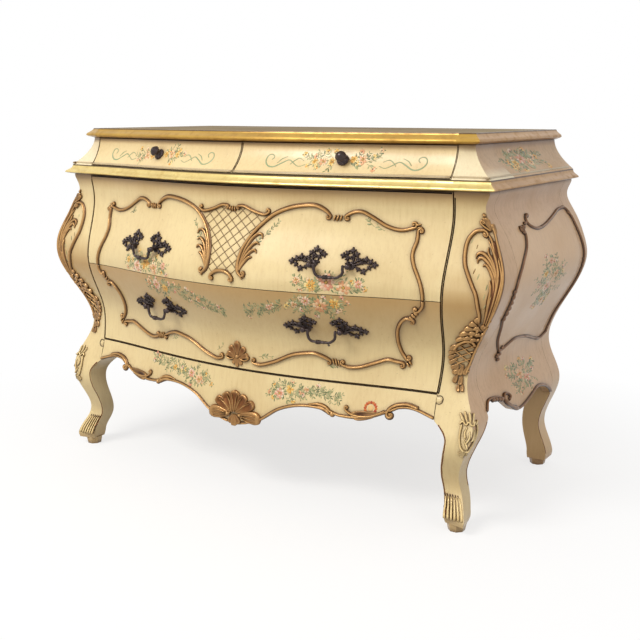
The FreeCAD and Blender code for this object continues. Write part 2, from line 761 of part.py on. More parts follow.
def post_shape(x, z, sign):
    """One post: a screw tail through the front, a collar on the face and an eye for the pivot."""
    middle, axis, half = pull_frame(x, z)
    out = axis.cross(Vector(0, 0, 1))
    head = middle + axis * (sign * half)
    tail = head - out * (S.post_reach + S.skin + 6)
    neck = Part.makeCylinder(S.post_neck, S.post_reach + S.skin + 6, tail, out)
    collar = Part.makeCylinder(S.post_radius, 3.5, head - out * (S.post_reach - S.plate_thick + 1), out)
    ball = Part.makeSphere(S.post_radius, head)
    hole = Part.makeCylinder(S.pin_radius + S.pin_clearance, 4 * S.post_radius,
                             head - axis * (2 * S.post_radius), axis)
    return neck.fuse([collar, ball]).cut(hole)


def post_bores(label, x, z):
    """The holes through a drawer front for the four posts of its two pulls."""
    bores = []
    for side in (1, -1):
        middle, axis, half = pull_frame(side * x, z)
        out = axis.cross(Vector(0, 0, 1))
        for sign in (-1, 1):
            head = middle + axis * (sign * half)
            bores.append(Part.makeCylinder(S.post_neck + 0.05, 90, head - out * 80, out))
    return solid_object(label, Part.makeCompound(bores))


def bail_shape(x, z):
    """A bail hanging from its two posts: pivots, arms, bends, bottom bar and a small knop."""
    middle, axis, half = pull_frame(x, z)
    down = Vector(0, 0, -1)

    def at(a, b):
        return middle + axis * a + down * b

    arm = half - S.post_radius - S.bail_radius - 0.8
    bend = S.bail_bend
    drop = S.bail_drop
    flat = arm - bend
    pieces = []
    for sign in (-1, 1):
        outward = axis * sign
        pin = half + S.post_radius + 1 - arm
        pieces.append(Part.makeCylinder(S.pin_radius, pin, at(sign * arm, 0), outward))
        pieces.append(Part.makeSphere(S.bail_radius + 0.3, at(sign * arm, 0), axis))
        pieces.append(Part.makeCylinder(S.bail_radius, drop - bend, at(sign * arm, 0), down))
        ring = Part.makeTorus(bend, S.bail_radius, Vector(0, 0, 0), Vector(0, 0, 1), -180, 180, 90)
        third = outward.cross(down)
        centre = at(sign * flat, drop - bend)
        ring.Placement = Placement(FreeCAD.Matrix(outward.x, down.x, third.x, centre.x,
                                                  outward.y, down.y, third.y, centre.y,
                                                  outward.z, down.z, third.z, centre.z, 0, 0, 0, 1))
        pieces.append(ring)
    pieces.append(Part.makeSphere(S.bail_radius + 2.2, at(-arm * 0.22, drop), axis))
    bar = Part.makeCylinder(S.bail_radius, 2 * flat, at(-flat, drop), axis)
    return bar.fuse(pieces)


def plate_outline(x, z, sign):
    """A backplate seen from the front: a leafy spray, one branch up and inwards, one outwards and a
    short leaf below."""
    leaf = [(-6, -10), (8, -8), (14, -20), (26, -14), (22, -4), (40, -6), (50, 4), (38, 12), (28, 20),
            (12, 14), (8, 26), (-2, 40), (-12, 30), (-24, 26), (-14, 14), (-7, 4)]
    points = [Vector(x + sign * (S.post_half + a), 0, z + b) for a, b in leaf]
    curve = Part.BSplineCurve()
    curve.interpolate(points, PeriodicFlag=True)
    return Part.Wire([curve.toShape()])


# ---------------------------------------------------------------- drawers

DRAWER_BACK = "(back_y - back_thick - drawer_back_gap)"


def drawer_box(prefix, inner_form, outer_right, outer_left, z_low, z_high, margin):
    """Sides, back and bottom of a drawer: the sides and the bottom run up to the curved front."""
    top = "%s - %s" % (z_high, margin)
    front = "back_y - belly_depth - 200"
    right_blank = box(prefix + "_side_blank_right", outer_right + " - side_thick", outer_right, front,
                      DRAWER_BACK, z_low, top)
    left_blank = box(prefix + "_side_blank_left", outer_left, outer_left + " + side_thick", front,
                     DRAWER_BACK, z_low, top)
    sides = [common(prefix + "_side_right", inner_form, right_blank),
             common(prefix + "_side_left", inner_form, left_blank)]
    node(group(prefix + "_sides", sides))
    inner_right = outer_right + " - side_thick - seat_gap"
    inner_left = outer_left + " + side_thick + seat_gap"
    node(box(prefix + "_back", inner_left, inner_right, DRAWER_BACK + " - side_thick", DRAWER_BACK,
             z_low + " + bottom_rise", top))
    bottom = box(prefix + "_bottom_blank", inner_left, inner_right, front,
                 DRAWER_BACK + " - side_thick - seat_gap", z_low + " + bottom_rise",
                 z_low + " + bottom_rise + bottom_thick")
    node(common(prefix + "_bottom", inner_form, bottom))


def deep_front(label, z_low, z_high, pull_x, pull_z):
    """A bombe drawer front: the case's skin between two levels and the slanting stiles, bored for the
    posts of its pulls."""
    low, high = z_low + S.reveal / 2, z_high - S.reveal / 2
    half_low = edge_x(low) + S.reveal - S.side_reveal
    half_high = edge_x(high) + S.reveal - S.side_reveal
    outline = [(-half_low, low), (half_low, low), (half_high, high), (-half_high, high)]
    blank = common(label + "_blank", case_skin, front_prism(label + "_prism", outline))
    return node(cut(label, blank, post_bores(label + "_bores", pull_x, pull_z)))


DEEP_SIDE = "edge_bottom - 2 - guide_thick - slide_gap"
z_pull_upper = z_joint + S.pull_above_joint
z_pull_lower = z_joint - S.pull_below_joint
deep_front("lower_drawer_front", z_bottom + S.reveal / 2, z_joint, S.pull_x_lower, z_pull_lower)
drawer_box("lower_drawer", CASE_INNER, DEEP_SIDE, "-(%s)" % DEEP_SIDE, BOTTOM_SEAT + " + slide_gap", Z_JOINT,
           "side_margin")
deep_front("upper_drawer_front", z_joint, z_waist - S.reveal / 2, S.pull_x_upper, z_pull_upper)
drawer_box("upper_drawer", CASE_INNER, DEEP_SIDE, "-(%s)" % DEEP_SIDE, JOINT_SEAT + " + slide_gap", Z_WAIST,
           "side_margin")


def knob_seat(sign):
    """Where a knob stands on the cove and which way it points."""
    x = sign * S.knob_x
    z = z_frieze + S.knob_rise
    step = 2.0
    slope_x = (frieze_y(x + step, z) - frieze_y(x - step, z)) / (2 * step)
    slope_z = (frieze_y(x, z + step) - frieze_y(x, z - step)) / (2 * step)
    outward = Vector(slope_x, -1, slope_z)
    outward.normalize()
    return Vector(x, frieze_y(x, z), z), outward


def frieze_front(label, sign):
    """A cove drawer front on one half of the frieze, bored for its knob."""
    space = box(label + "_space", "reveal / 2" if sign > 0 else "-frieze_edge", "frieze_edge" if sign > 0
                else "-reveal / 2", "back_y - frieze_low_depth - 200", "0", Z_FRIEZE + " + reveal",
                Z_TOP + " - reveal")
    seat, outward = knob_seat(sign)
    drill = Part.makeCylinder(S.knob_neck + 0.05, 80, seat - outward * 40, outward)
    bore = solid_object(label + "_bore", drill)
    return node(cut(label, common(label + "_blank", frieze_skin, space), bore))


FRIEZE_OUTER = "(frieze_edge - guide_thick - slide_gap)"
FRIEZE_INNER_SIDE = "(divider_half + slide_gap)"
for hand, sign in (("right", 1), ("left", -1)):
    prefix = "frieze_drawer_" + hand
    frieze_front(prefix + "_front", sign)
    outer, inner = FRIEZE_OUTER, FRIEZE_INNER_SIDE
    if sign < 0:
        outer, inner = "-" + inner, "-" + outer
    drawer_box(prefix, FRIEZE_INNER, outer, inner, Z_FRIEZE + " + slide_gap", Z_TOP, "frieze_side_margin")

# ---------------------------------------------------------------- applied carving

# The cartouche rails on the deep drawers, right half: upper side, lower side, top, lattice frame, bottom.
CARTOUCHE_SIDE_UPPER = [(432, 645), (436, 615), (433, 592), (440, 571), (455, 543), (463, 517),
                        (463, z_joint)]
CARTOUCHE_SIDE_LOWER = [(463, z_joint), (450, 480), (434, 464), (412, 450), (401, 430), (397, 403),
                        (402, 378), (410, 362)]
CARTOUCHE_TOP = [(428, 648), (400, 643), (369, 650), (336, 668), (310, 678), (286, 674), (260, 667),
                 (236, 679), (210, 687), (186, 689), (148, 682), (110, 663), (80, 638), (58, 610), (45, 582),
                 (43, 556), (50, 536), (66, 527)]
LATTICE_TOP = [(-100, 672), (-84, 664), (-58, 670), (-30, 679), (0, 676), (30, 679), (58, 670), (84, 664),
               (100, 672)]
LATTICE_BOTTOM = [(-38, 532), (-20, 533), (0, 526), (20, 533), (38, 532)]
CARTOUCHE_BOTTOM = [(405, 352), (388, 353), (366, 358), (340, 348), (310, 337), (283, 333), (252, 342),
                    (228, 348), (203, 356), (178, 354), (146, 346), (103, 327), (66, 316), (38, 318)]
PALMETTE_HALF = 36
PALMETTE_LOW = 303
PALMETTE_HIGH = 363


def rail(label, points, width=None):
    """A carved rail on the front, as the space that it fills."""
    return front_prism(label, band(points, width or S.rail_width, FRONT_AXES))


def scallop(label, half, low, high, lobes, depth):
    """A fan-shaped outline with a lobed upper edge."""
    middle = low + (high - low) * 0.35
    points = []
    steps = 8 * lobes
    for i in range(steps):
        angle = 2 * math.pi * i / steps
        reach = 1 - depth * abs(math.sin(lobes * angle / 2))
        rise = (high - middle) if math.sin(angle) > 0 else (middle - low)
        points.append(Vector(half * reach * math.cos(angle), 0, middle + rise * reach * math.sin(angle)))
    curve = Part.BSplineCurve()
    curve.interpolate(points, PeriodicFlag=True)
    return front_prism(label, Part.Wire([curve.toShape()]))


side_upper = rail("side_upper_rail", CARTOUCHE_SIDE_UPPER)
top_rail = rail("top_rail", CARTOUCHE_TOP)
upper_spaces = [side_upper, mirrored("side_upper_rail_left", side_upper), top_rail,
                mirrored("top_rail_left", top_rail), rail("lattice_top", LATTICE_TOP),
                rail("lattice_bottom", LATTICE_BOTTOM)]
upper_limit = box("upper_limit", "-belly_half", "belly_half", "back_y - belly_depth - 200", "0",
                  Z_JOINT + " + reveal / 2", Z_WAIST)
upper_layer = common("upper_layer", cut("relief_layer", CASE_RELIEF, CASE_FACE), upper_limit)
node(common("upper_drawer_cartouche", upper_layer, fuse("upper_spaces", upper_spaces)))

side_lower = rail("side_lower_rail", CARTOUCHE_SIDE_LOWER)
bottom_rail = rail("bottom_rail", CARTOUCHE_BOTTOM)
lower_spaces = [side_lower, mirrored("side_lower_rail_left", side_lower), bottom_rail,
                mirrored("bottom_rail_left", bottom_rail),
                scallop("palmette_space", PALMETTE_HALF, PALMETTE_LOW, PALMETTE_HIGH, 7, 0.2)]
lower_limit = box("lower_limit", "-belly_half", "belly_half", "back_y - belly_depth - 200", "0",
                  "case_bottom + reveal", Z_JOINT + " - reveal / 2")
relief_layer = cut("relief_layer_lower", CASE_RELIEF, CASE_FACE)
lower_layer = common("lower_layer", relief_layer, lower_limit)
node(common("lower_drawer_cartouche", lower_layer, fuse("lower_spaces", lower_spaces)))

# Leaf carving that wraps each front corner: height, reach across each face.
CORNER_LEAF = [(398, 5), (420, 17), (440, 12), (468, 24), (492, 17), (522, 31), (548, 22), (578, 34),
               (604, 24), (632, 30), (662, 6)]


def corner_leaf_outline(corner, towards, axis):
    """The leaf on one face of the corner, from its tips round to the open side of the corner."""
    tips = [axis * (corner(z) + towards * reach) + Vector(0, 0, z) for z, reach in CORNER_LEAF]
    far = axis * (corner(S.arch_height) - towards * 150)
    turns = [tips[-1], Vector(far.x, far.y, tips[-1].z), Vector(far.x, far.y, tips[0].z), tips[0]]
    return Part.Wire([spline(tips).toShape()] + [Part.makeLine(a, b) for a, b in zip(turns, turns[1:])])


leaf_front = front_prism("corner_leaf_front", corner_leaf_outline(corner_x, -1, Vector(1, 0, 0)))
leaf_side = side_prism("corner_leaf_side", corner_leaf_outline(corner_y, 1, Vector(0, 1, 0)), 0)
leaf_space = common("corner_leaf_space", leaf_front, leaf_side)
leaf_layer = cut("corner_leaf_layer", CASE_LEAF, CASE_FACE)
corner_carving_right = node(common("corner_carving_right", leaf_layer, leaf_space))
node(mirrored("corner_carving_left", corner_carving_right))

# Carved cartouche on the side: distance in front of the back plane, height.
SIDE_CARTOUCHE = [
    [(366, 646), (359, 632), (378, 604), (420, 576), (456, 545), (463, 502), (454, 463), (426, 436),
     (391, 399), (340, 360)],
    [(352, 640), (320, 637), (286, 640), (225, 641), (154, 651), (92, 661), (52, 655)],
    [(46, 645), (40, 616), (33, 588), (28, 545), (27, 500), (31, 450), (36, 410), (30, 374)],
    [(328, 362), (300, 372), (263, 378), (183, 367), (120, 350), (76, 341), (38, 349)]]
side_spaces = []
for number, line in enumerate(SIDE_CARTOUCHE):
    points = [(y_back - depth, z) for depth, z in line]
    side_spaces.append(side_prism("side_rail_%d" % number, band(points, S.rail_width, SIDE_AXES)))
side_layer = cut("side_layer", CASE_RELIEF, CASE_FACE)
side_cartouche_right = node(common("side_cartouche_right", side_layer, fuse("side_spaces", side_spaces)))
node(mirrored("side_cartouche_left", side_cartouche_right))

shell_layer = cut("shell_layer", CASE_SHELL, CASE_FACE)
node(common("apron_shell", shell_layer, scallop("shell_space", S.shell_half, S.shell_low, 250, 9, 0.16)))

# ---------------------------------------------------------------- pulls and knobs

PLATE_FORM = case_form("plate_form", -S.plate_thick, -S.plate_thick)


def pulls(prefix, x, z):
    """The two pulls of a deep drawer: backplates and posts on the drawer, each bail on its own."""
    plates = []
    posts = []
    for middle in (x, -x):
        for sign in (-1, 1):
            outline = plate_outline(middle, z, sign)
            post = post_shape(middle, z, sign)
            name = "%s_plate_%d" % (prefix, len(plates))
            layer = common(name, plate_layer, front_prism(name + "_prism", outline))
            plates.append(layer)
            posts.append(solid_object("%s_post_%d" % (prefix, len(posts)), post))
    backplates = group(prefix + "_plate_set", plates)
    tools = fuse(prefix + "_post_set", posts)
    node(cut(prefix + "_backplates", backplates, tools))
    node(group(prefix + "_posts", posts))
    for hand, middle in (("right", x), ("left", -x)):
        node(solid_object("%s_%s_bail" % (prefix, hand), bail_shape(middle, z)))


plate_layer = cut("plate_layer", PLATE_FORM, CASE_FACE)
pulls("upper_drawer", S.pull_x_upper, z_pull_upper)
pulls("lower_drawer", S.pull_x_lower, z_pull_lower)


def knob_body():
    """A turned knob with its rose and screw tail, as a PartDesign revolution about Z."""
    body = DOC.addObject("PartDesign::Body", "knob")
    sketch = body.newObject("Sketcher::SketchObject", "knob_profile")
    plane = [f for f in body.Origin.OriginFeatures if f.Role == "XZ_Plane"][0]
    sketch.AttachmentSupport = [(plane, "")]
    sketch.MapMode = "FlatFace"
    # radius and height of each corner of the profile, as sheet expressions
    profile = [("0", "-skin - 4"), ("knob_neck", "-skin - 4"), ("knob_neck", "0.4"), ("5", "0.4"),
               ("5", "knob_lift"), ("rose_radius", "knob_lift"), ("rose_radius - 1", "knob_lift + 2"),
               ("rose_radius - 6", "knob_lift + 3"), ("5", "9"), ("5", "11"), ("knob_radius - 2", "13"),
               ("knob_radius", "knob_reach - 9"), ("knob_radius - 3", "knob_reach - 3"),
               ("knob_radius - 7", "knob_reach"), ("0", "knob_reach")]
    start = [(0, -24), (2.5, -24), (2.5, 0.4), (5, 0.4), (5, 1.4), (14, 1.4), (13, 3.4), (8, 4.4), (5, 9),
             (5, 11), (10, 13), (12, 18), (9, 24), (5, 27), (0, 27)]
    count = len(start)
    for i in range(count):
        a, b = start[i], start[(i + 1) % count]
        sketch.addGeometry(Part.LineSegment(Vector(a[0], a[1], 0), Vector(b[0], b[1], 0)), False)
    for i in range(count):
        sketch.addConstraint(Sketcher.Constraint("Coincident", i, 2, (i + 1) % count, 1))
    for i, (radius, height) in enumerate(profile):
        across = sketch.addConstraint(Sketcher.Constraint("DistanceX", -1, 1, i, 1, start[i][0]))
        bind(sketch, "Constraints[%d]" % across, radius)
        up = sketch.addConstraint(Sketcher.Constraint("DistanceY", -1, 1, i, 1, start[i][1]))
        bind(sketch, "Constraints[%d]" % up, height)
    turn = body.newObject("PartDesign::Revolution", "knob_turn")
    turn.Profile = sketch
    turn.ReferenceAxis = (sketch, ["V_Axis"])
    turn.Angle = 360
    return body


KNOB = knob_body()
DOC.recompute()
for hand, sign in (("right", 1), ("left", -1)):
    seat, outward = knob_seat(sign)
    knob = solid_object("frieze_drawer_%s_knob" % hand, KNOB.Shape.copy())
    knob.Placement = Placement(seat, Rotation(Vector(0, 0, 1), outward))
    node(knob)

# ---------------------------------------------------------------- check and write

DOC.recompute()


def check(thing):
    if "Invalid" in thing.State or "Error" in thing.State:
        raise RuntimeError("%s is %s" % (thing.Label, thing.State))


for thing in DOC.Objects:
    check(thing)
os.makedirs("parts", exist_ok=True)
for thing in NODES:
    shape = thing.Shape
    if shape.isNull() or not shape.isValid() or not shape.Solids:
        raise RuntimeError("%s has no valid solid" % thing.Label)
    shape.exportStep("parts/%s.step" % thing.Label)
    box_now = shape.BoundBox
    print("%-28s %2d solids %9.1f cm3  x %6.1f..%6.1f  y %6.1f..%6.1f  z %5.1f..%5.1f" % (
        thing.Label, len(shape.Solids), shape.Volume / 1000, box_now.XMin, box_now.XMax, box_now.YMin,
        box_now.YMax, box_now.ZMin, box_now.ZMax))
print(len(NODES), "pieces")
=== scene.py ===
"""A painted and gilded bombe chest in a small pale studio."""
import json
import math
import random

import bpy
from mathutils import Matrix, Vector
from mathutils.bvhtree import BVHTree


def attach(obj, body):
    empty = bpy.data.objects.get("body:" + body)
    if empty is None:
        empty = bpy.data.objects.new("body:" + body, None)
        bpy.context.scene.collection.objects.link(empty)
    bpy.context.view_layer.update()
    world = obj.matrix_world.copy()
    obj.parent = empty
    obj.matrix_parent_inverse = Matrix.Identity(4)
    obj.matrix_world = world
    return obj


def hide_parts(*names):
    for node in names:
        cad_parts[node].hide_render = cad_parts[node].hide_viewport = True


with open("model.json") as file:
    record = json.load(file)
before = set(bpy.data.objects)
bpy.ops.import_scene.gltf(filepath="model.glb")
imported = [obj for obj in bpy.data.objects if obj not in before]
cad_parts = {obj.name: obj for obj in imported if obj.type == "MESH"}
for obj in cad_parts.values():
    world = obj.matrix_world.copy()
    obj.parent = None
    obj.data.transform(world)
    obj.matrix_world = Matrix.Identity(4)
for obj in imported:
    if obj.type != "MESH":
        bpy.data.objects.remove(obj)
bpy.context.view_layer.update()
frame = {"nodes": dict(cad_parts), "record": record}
NODES = frame["nodes"]
MM = 0.001
SCENE = bpy.context.scene
SCENE.view_settings.view_transform = "Standard"

# ---------------------------------------------------------------- node trees


class Tree:
    """Short calls for building a node tree."""

    def __init__(self, tree):
        self.tree = tree
        self.nodes = tree.nodes

    def feed(self, socket, value):
        """Joins a socket to another one, or gives it a value."""
        if isinstance(value, bpy.types.NodeSocket):
            self.link(value, socket)
        else:
            socket.default_value = value

    def node(self, kind, values=None, **settings):
        made = self.nodes.new("ShaderNode" + kind)
        for key, value in settings.items():
            setattr(made, key, value)
        for key, value in (values or {}).items():
            self.feed(made.inputs[key], value)
        return made

    def link(self, source, target):
        self.tree.links.new(source, target)

    def noise(self, coords, scale, detail=4.0, roughness=0.55, stretch=None):
        if stretch:
            coords = self.node("Mapping", {"Vector": coords, "Scale": stretch}).outputs[0]
        return self.node("TexNoise", {"Vector": coords, "Scale": scale, "Detail": detail,
                                      "Roughness": roughness}).outputs[0]

    def ramp(self, value, low, high, out_low=0.0, out_high=1.0):
        return self.node("MapRange", {"Value": value, "From Min": low, "From Max": high, "To Min": out_low,
                                      "To Max": out_high}, clamp=True).outputs[0]

    def mix(self, fac, a, b, blend="MIX"):
        return self.node("Mix", {0: fac, 6: a, 7: b}, data_type="RGBA", blend_type=blend,
                         clamp_factor=True).outputs[2]

    def math(self, operation, a, b=0.0):
        return self.node("Math", {0: a, 1: b}, operation=operation).outputs[0]

    def times(self, a, b):
        return self.math("MULTIPLY", a, b)

    def plus(self, a, b):
        return self.math("ADD", a, b)

    def most(self, a, b):
        return self.math("MAXIMUM", a, b)


def new_material(name):
    """An empty material, its node tree and its shader."""
    material = bpy.data.materials.new(name)
    material.use_nodes = True
    tree = Tree(material.node_tree)
    return material, tree, tree.nodes["Principled BSDF"]


# ---------------------------------------------------------------- camera, light and floor

SENSOR, LENS, CAMERA_PLACE = 36, 55.59, (1.3680, -2.0521, 0.8899)
YAW, PITCH = math.radians(32.47), math.radians(11.99)
WHITE = (1, 1, 1, 1)
DAYLIGHT = (1.0, 0.955, 0.90, 1)
FLOOR_LIT, FLOOR_SEEN = (0.30, 0.28, 0.25, 1), (0.97, 0.97, 0.97, 1)
FLOOR_REACH, FADE_FROM, FADE_TO = 7, 0.5, 1.3
LIGHT_BELOW, LIGHT_ABOVE = 0.16, 0.62


def set_up_camera():
    camera = bpy.data.cameras.new("camera")
    camera.sensor_width = SENSOR
    camera.lens = LENS
    camera.clip_start = 0.05
    holder = bpy.data.objects.new("camera", camera)
    SCENE.collection.objects.link(holder)
    forward = Vector((-math.sin(YAW) * math.cos(PITCH), math.cos(YAW) * math.cos(PITCH), -math.sin(PITCH)))
    holder.location = CAMERA_PLACE
    holder.rotation_euler = forward.to_track_quat("-Z", "Y").to_euler()
    SCENE.camera = holder


def lamp(name, place, target, size, power, colour):
    data = bpy.data.lights.new(name, "AREA")
    data.shape = "RECTANGLE"
    data.size, data.size_y = size
    data.energy = power
    data.color = colour
    holder = bpy.data.objects.new(name, data)
    holder.location = place
    holder.rotation_euler = (Vector(target) - Vector(place)).to_track_quat("-Z", "Y").to_euler()
    SCENE.collection.objects.link(holder)


def seen_directly(tree):
    """1 for camera, glossy and clear rays, 0 for the rays that light the chest."""
    paths = tree.node("LightPath").outputs
    seen = tree.most(paths["Is Camera Ray"], paths["Is Glossy Ray"])
    return tree.most(seen, paths["Is Transmission Ray"])


def set_up_world():
    """Soft light that comes mostly from above; what looks straight at the studio sees plain white."""
    world = bpy.data.worlds.new("studio")
    world.use_nodes = True
    SCENE.world = world
    tree = Tree(world.node_tree)
    ambient = tree.nodes["Background"]
    ambient.inputs["Color"].default_value = DAYLIGHT
    height = tree.node("SeparateXYZ", {"Vector": tree.node("TexCoord").outputs["Generated"]}).outputs["Z"]
    tree.link(tree.ramp(height, -0.3, 0.7, LIGHT_BELOW, LIGHT_ABOVE), ambient.inputs["Strength"])
    seen = tree.node("Background", {"Color": WHITE, "Strength": 1.0})
    mix = tree.node("MixShader", {"Fac": seen_directly(tree), 1: ambient.outputs["Background"],
                                  2: seen.outputs["Background"]})
    tree.link(mix.outputs["Shader"], tree.nodes["World Output"].inputs["Surface"])


def lay_floor():
    """A pale floor that takes the chest's shadow and turns to plain white away from it."""
    mesh = bpy.data.meshes.new("floor")
    corners = [(a * FLOOR_REACH, b * FLOOR_REACH, 0) for a, b in ((-1, -1), (1, -1), (1, 1), (-1, 1))]
    mesh.from_pydata(corners, [], [(0, 1, 2, 3)])
    floor = bpy.data.objects.new("floor", mesh)
    SCENE.collection.objects.link(floor)
    material, tree, shader = new_material("studio_floor")
    tree.link(tree.mix(seen_directly(tree), FLOOR_LIT, FLOOR_SEEN), shader.inputs["Base Color"])
    shader.inputs["Roughness"].default_value = 0.9
    white = tree.node("Emission", {"Color": WHITE, "Strength": 1.0})
    distance = tree.node("VectorMath", {0: tree.node("TexCoord").outputs["Object"]}, operation="LENGTH")
    fade = tree.ramp(distance.outputs["Value"], FADE_FROM, FADE_TO, 0.70, 1.0)
    mix = tree.node("MixShader", {"Fac": tree.times(fade, seen_directly(tree)),
                                  1: shader.outputs["BSDF"], 2: white.outputs["Emission"]})
    tree.link(mix.outputs["Shader"], tree.nodes["Material Output"].inputs["Surface"])
    mesh.materials.append(material)


set_up_camera()
set_up_world()
lay_floor()
# Each lamp's place, what it looks at, its size in metres, its power in watts and its colour.
lamp("key", (-1.0, -2.7, 3.4), (0, 0, 0.5), (1.8, 1.2), 104, (1.0, 0.97, 0.92))
lamp("fill", (3.0, -1.4, 2.0), (0.2, 0, 0.4), (1.4, 1.4), 15, (1.0, 0.93, 0.88))
lamp("low_front", (-0.6, -3.4, 0.9), (0, 0, 0.4), (2.0, 0.8), 11, (1.0, 0.92, 0.76))

# ---------------------------------------------------------------- shape of the case, in millimetres

BACK = 317.7
Z_JOINT, Z_WAIST, Z_FRIEZE, Z_TOP, Z_CROWN = 502.0, 727.0, 751.0, 820.0, 844.0
ARCH = 243.0


def smooth(stations, at):
    """A smooth curve through (place, value) stations that never overshoots between them."""
    places = [pair[0] for pair in stations]
    values = [pair[1] for pair in stations]
    if at <= places[0]:
        return values[0]
    if at >= places[-1]:
        return values[-1]
    steps = [b - a for a, b in zip(places, places[1:])]
    slopes = [(b - a) / step for a, b, step in zip(values, values[1:], steps)]
    tangents = [0.0]
    for before, after in zip(slopes, slopes[1:]):
        tangents.append(2 * before * after / (before + after) if before * after > 0 else 0.0)
    tangents.append(0.0)
    i = max(k for k in range(len(steps)) if places[k] <= at)
    t = (at - places[i]) / steps[i]
    rise = 3 * t ** 2 - 2 * t ** 3
    lead = (t ** 3 - 2 * t ** 2 + t) * steps[i] * tangents[i]
    trail = (t ** 3 - t ** 2) * steps[i] * tangents[i + 1]
    return values[i] + (values[i + 1] - values[i]) * rise + lead + trail


def straight(stations, at):
    """Straight runs between (place, value) stations."""
    if at <= stations[0][0]:
        return stations[0][1]
    for (p0, v0), (p1, v1) in zip(stations, stations[1:]):
        if at <= p1:
            return v0 + (v1 - v0) * (at - p0) / (p1 - p0)
    return stations[-1][1]


# Stations of height: half the width and the depth at the front corners, half the width of the deep drawers,
# and how far their fronts bow out.
CORNER_HALF = [(27, 571), (112, 546), (228, 580), (330, 547), (550, 633), (640, 602), (692, 575), (727, 584)]
CORNER_DEPTH = [(27, 549), (92, 521), (190, 547), (360, 494), (515, 534), (675, 496), (727, 502)]
EDGE_HALF = [(298, 487), (502, 503), (727, 511)]
BOW = [(190, 48), (298, 62), (520, 88), (727, 72)]
RAKE, RAKE_RISE = 14, 90
FRIEZE_EDGE = 505
# Half width, depth and bow of the frieze: each at the head of the cove, and how much more at its foot.
FRIEZE_HALF, FRIEZE_DEPTH, FRIEZE_BOW = (537, 50), (472, 34), (60, 12)


def corner_x(z):
    return smooth(CORNER_HALF, z)


def corner_y(z):
    return BACK - smooth(CORNER_DEPTH, z)


def edge_x(z):
    return straight(EDGE_HALF, z)


def bell(u):
    return (1 - u * u) ** 1.6 if abs(u) < 1 else 0.0


def front_y(x, z):
    """Y of the case's front: serpentine between the drawer edges, flat stiles beyond them."""
    edge = edge_x(z)
    middle = corner_y(z) - RAKE * min(max((z - ARCH) / RAKE_RISE, 0), 1)
    if abs(x) <= edge:
        return middle - swell(z) * bell(x / edge)
    share = min((abs(x) - edge) / (corner_x(z) - edge), 1)
    return middle + (corner_y(z) - middle) * share


def cove(z):
    """How far the cove still stands out: 1 at its foot, 0 at its head."""
    return max(1 - (z - Z_FRIEZE) / (Z_TOP - Z_FRIEZE), 0) ** 1.8


def frieze_x(z):
    return FRIEZE_HALF[0] + FRIEZE_HALF[1] * cove(z)


def frieze_y(x, z):
    corner = BACK - FRIEZE_DEPTH[0] - FRIEZE_DEPTH[1] * cove(z)
    edge = corner - RAKE
    if abs(x) <= FRIEZE_EDGE:
        return edge - (FRIEZE_BOW[0] + FRIEZE_BOW[1] * cove(z)) * bell(x / FRIEZE_EDGE)
    share = min((abs(x) - FRIEZE_EDGE) / (frieze_x(z) - FRIEZE_EDGE), 1)
    return edge + (corner - edge) * share


def tabled(function, top=850):
    """The same function of height, read from a table."""
    rows = [function(z) for z in range(top + 2)]

    def read(z):
        z = min(max(z, 0), top)
        low = int(z)
        return rows[low] + (rows[low + 1] - rows[low]) * (z - low)

    return read


corner_x = tabled(corner_x)
corner_y = tabled(corner_y)
swell = tabled(lambda z: smooth(BOW, z))


# How far outside a face the wood is looked for, and how near the form it has to be: for carving to lie
# on it, and to count as being there.
PROBE, NEAR, NEARBY = 60, 5, 6


class Skin:
    """A face of the case that carving lies on. form(a, b) is a point of it, outward is its outer side,
    and the pieces named are the ones that it lies on."""

    def __init__(self, form, outward, pieces=()):
        self.form = form
        self.outward = Vector(outward)
        self.tree = None
        points, faces = [], []
        for name in pieces:
            start = len(points)
            points.extend(vertex.co / MM for vertex in NODES[name].data.vertices)
            faces.extend([start + i for i in face.vertices] for face in NODES[name].data.polygons)
        if points:
            self.tree = BVHTree.FromPolygons(points, faces)

    def wood(self, point, within):
        """The wood in front of or behind a point of the form, if it is as near as that."""
        hit = self.tree.ray_cast(point + self.outward * PROBE, -self.outward, 2 * PROBE)[0]
        return hit if hit and (hit - point).length < within else None

    def at(self, a, b):
        point = self.form(a, b)
        return self.tree and self.wood(point, NEAR) or point

    def meets(self, a, b):
        """Whether there is wood at this spot of the face."""
        return bool(self.wood(self.form(a, b), NEARBY))

    def normal(self, a, b, step=1.5):
        across = self.form(a + step, b) - self.form(a - step, b)
        up = self.form(a, b + step) - self.form(a, b - step)
        normal = across.cross(up).normalized()
        return normal if normal.dot(self.outward) > 0 else -normal

    def lifted(self, a, b, lift):
        return self.at(a, b) + self.normal(a, b) * lift


def corner_form(s, z):
    """Round the front corner: s is the distance from it, negative on the front, positive on the side."""
    if s <= 0:
        return Vector((corner_x(z) + s, front_y(corner_x(z) + s, z), z))
    return Vector((corner_x(z), corner_y(z) + s, z))


SIDE_PIECES = ("side_panel_right", "front_leg_right", "rear_leg_right")
FRIEZE_SIDE_PIECES = ("frieze_side_right", "frieze_block_right")
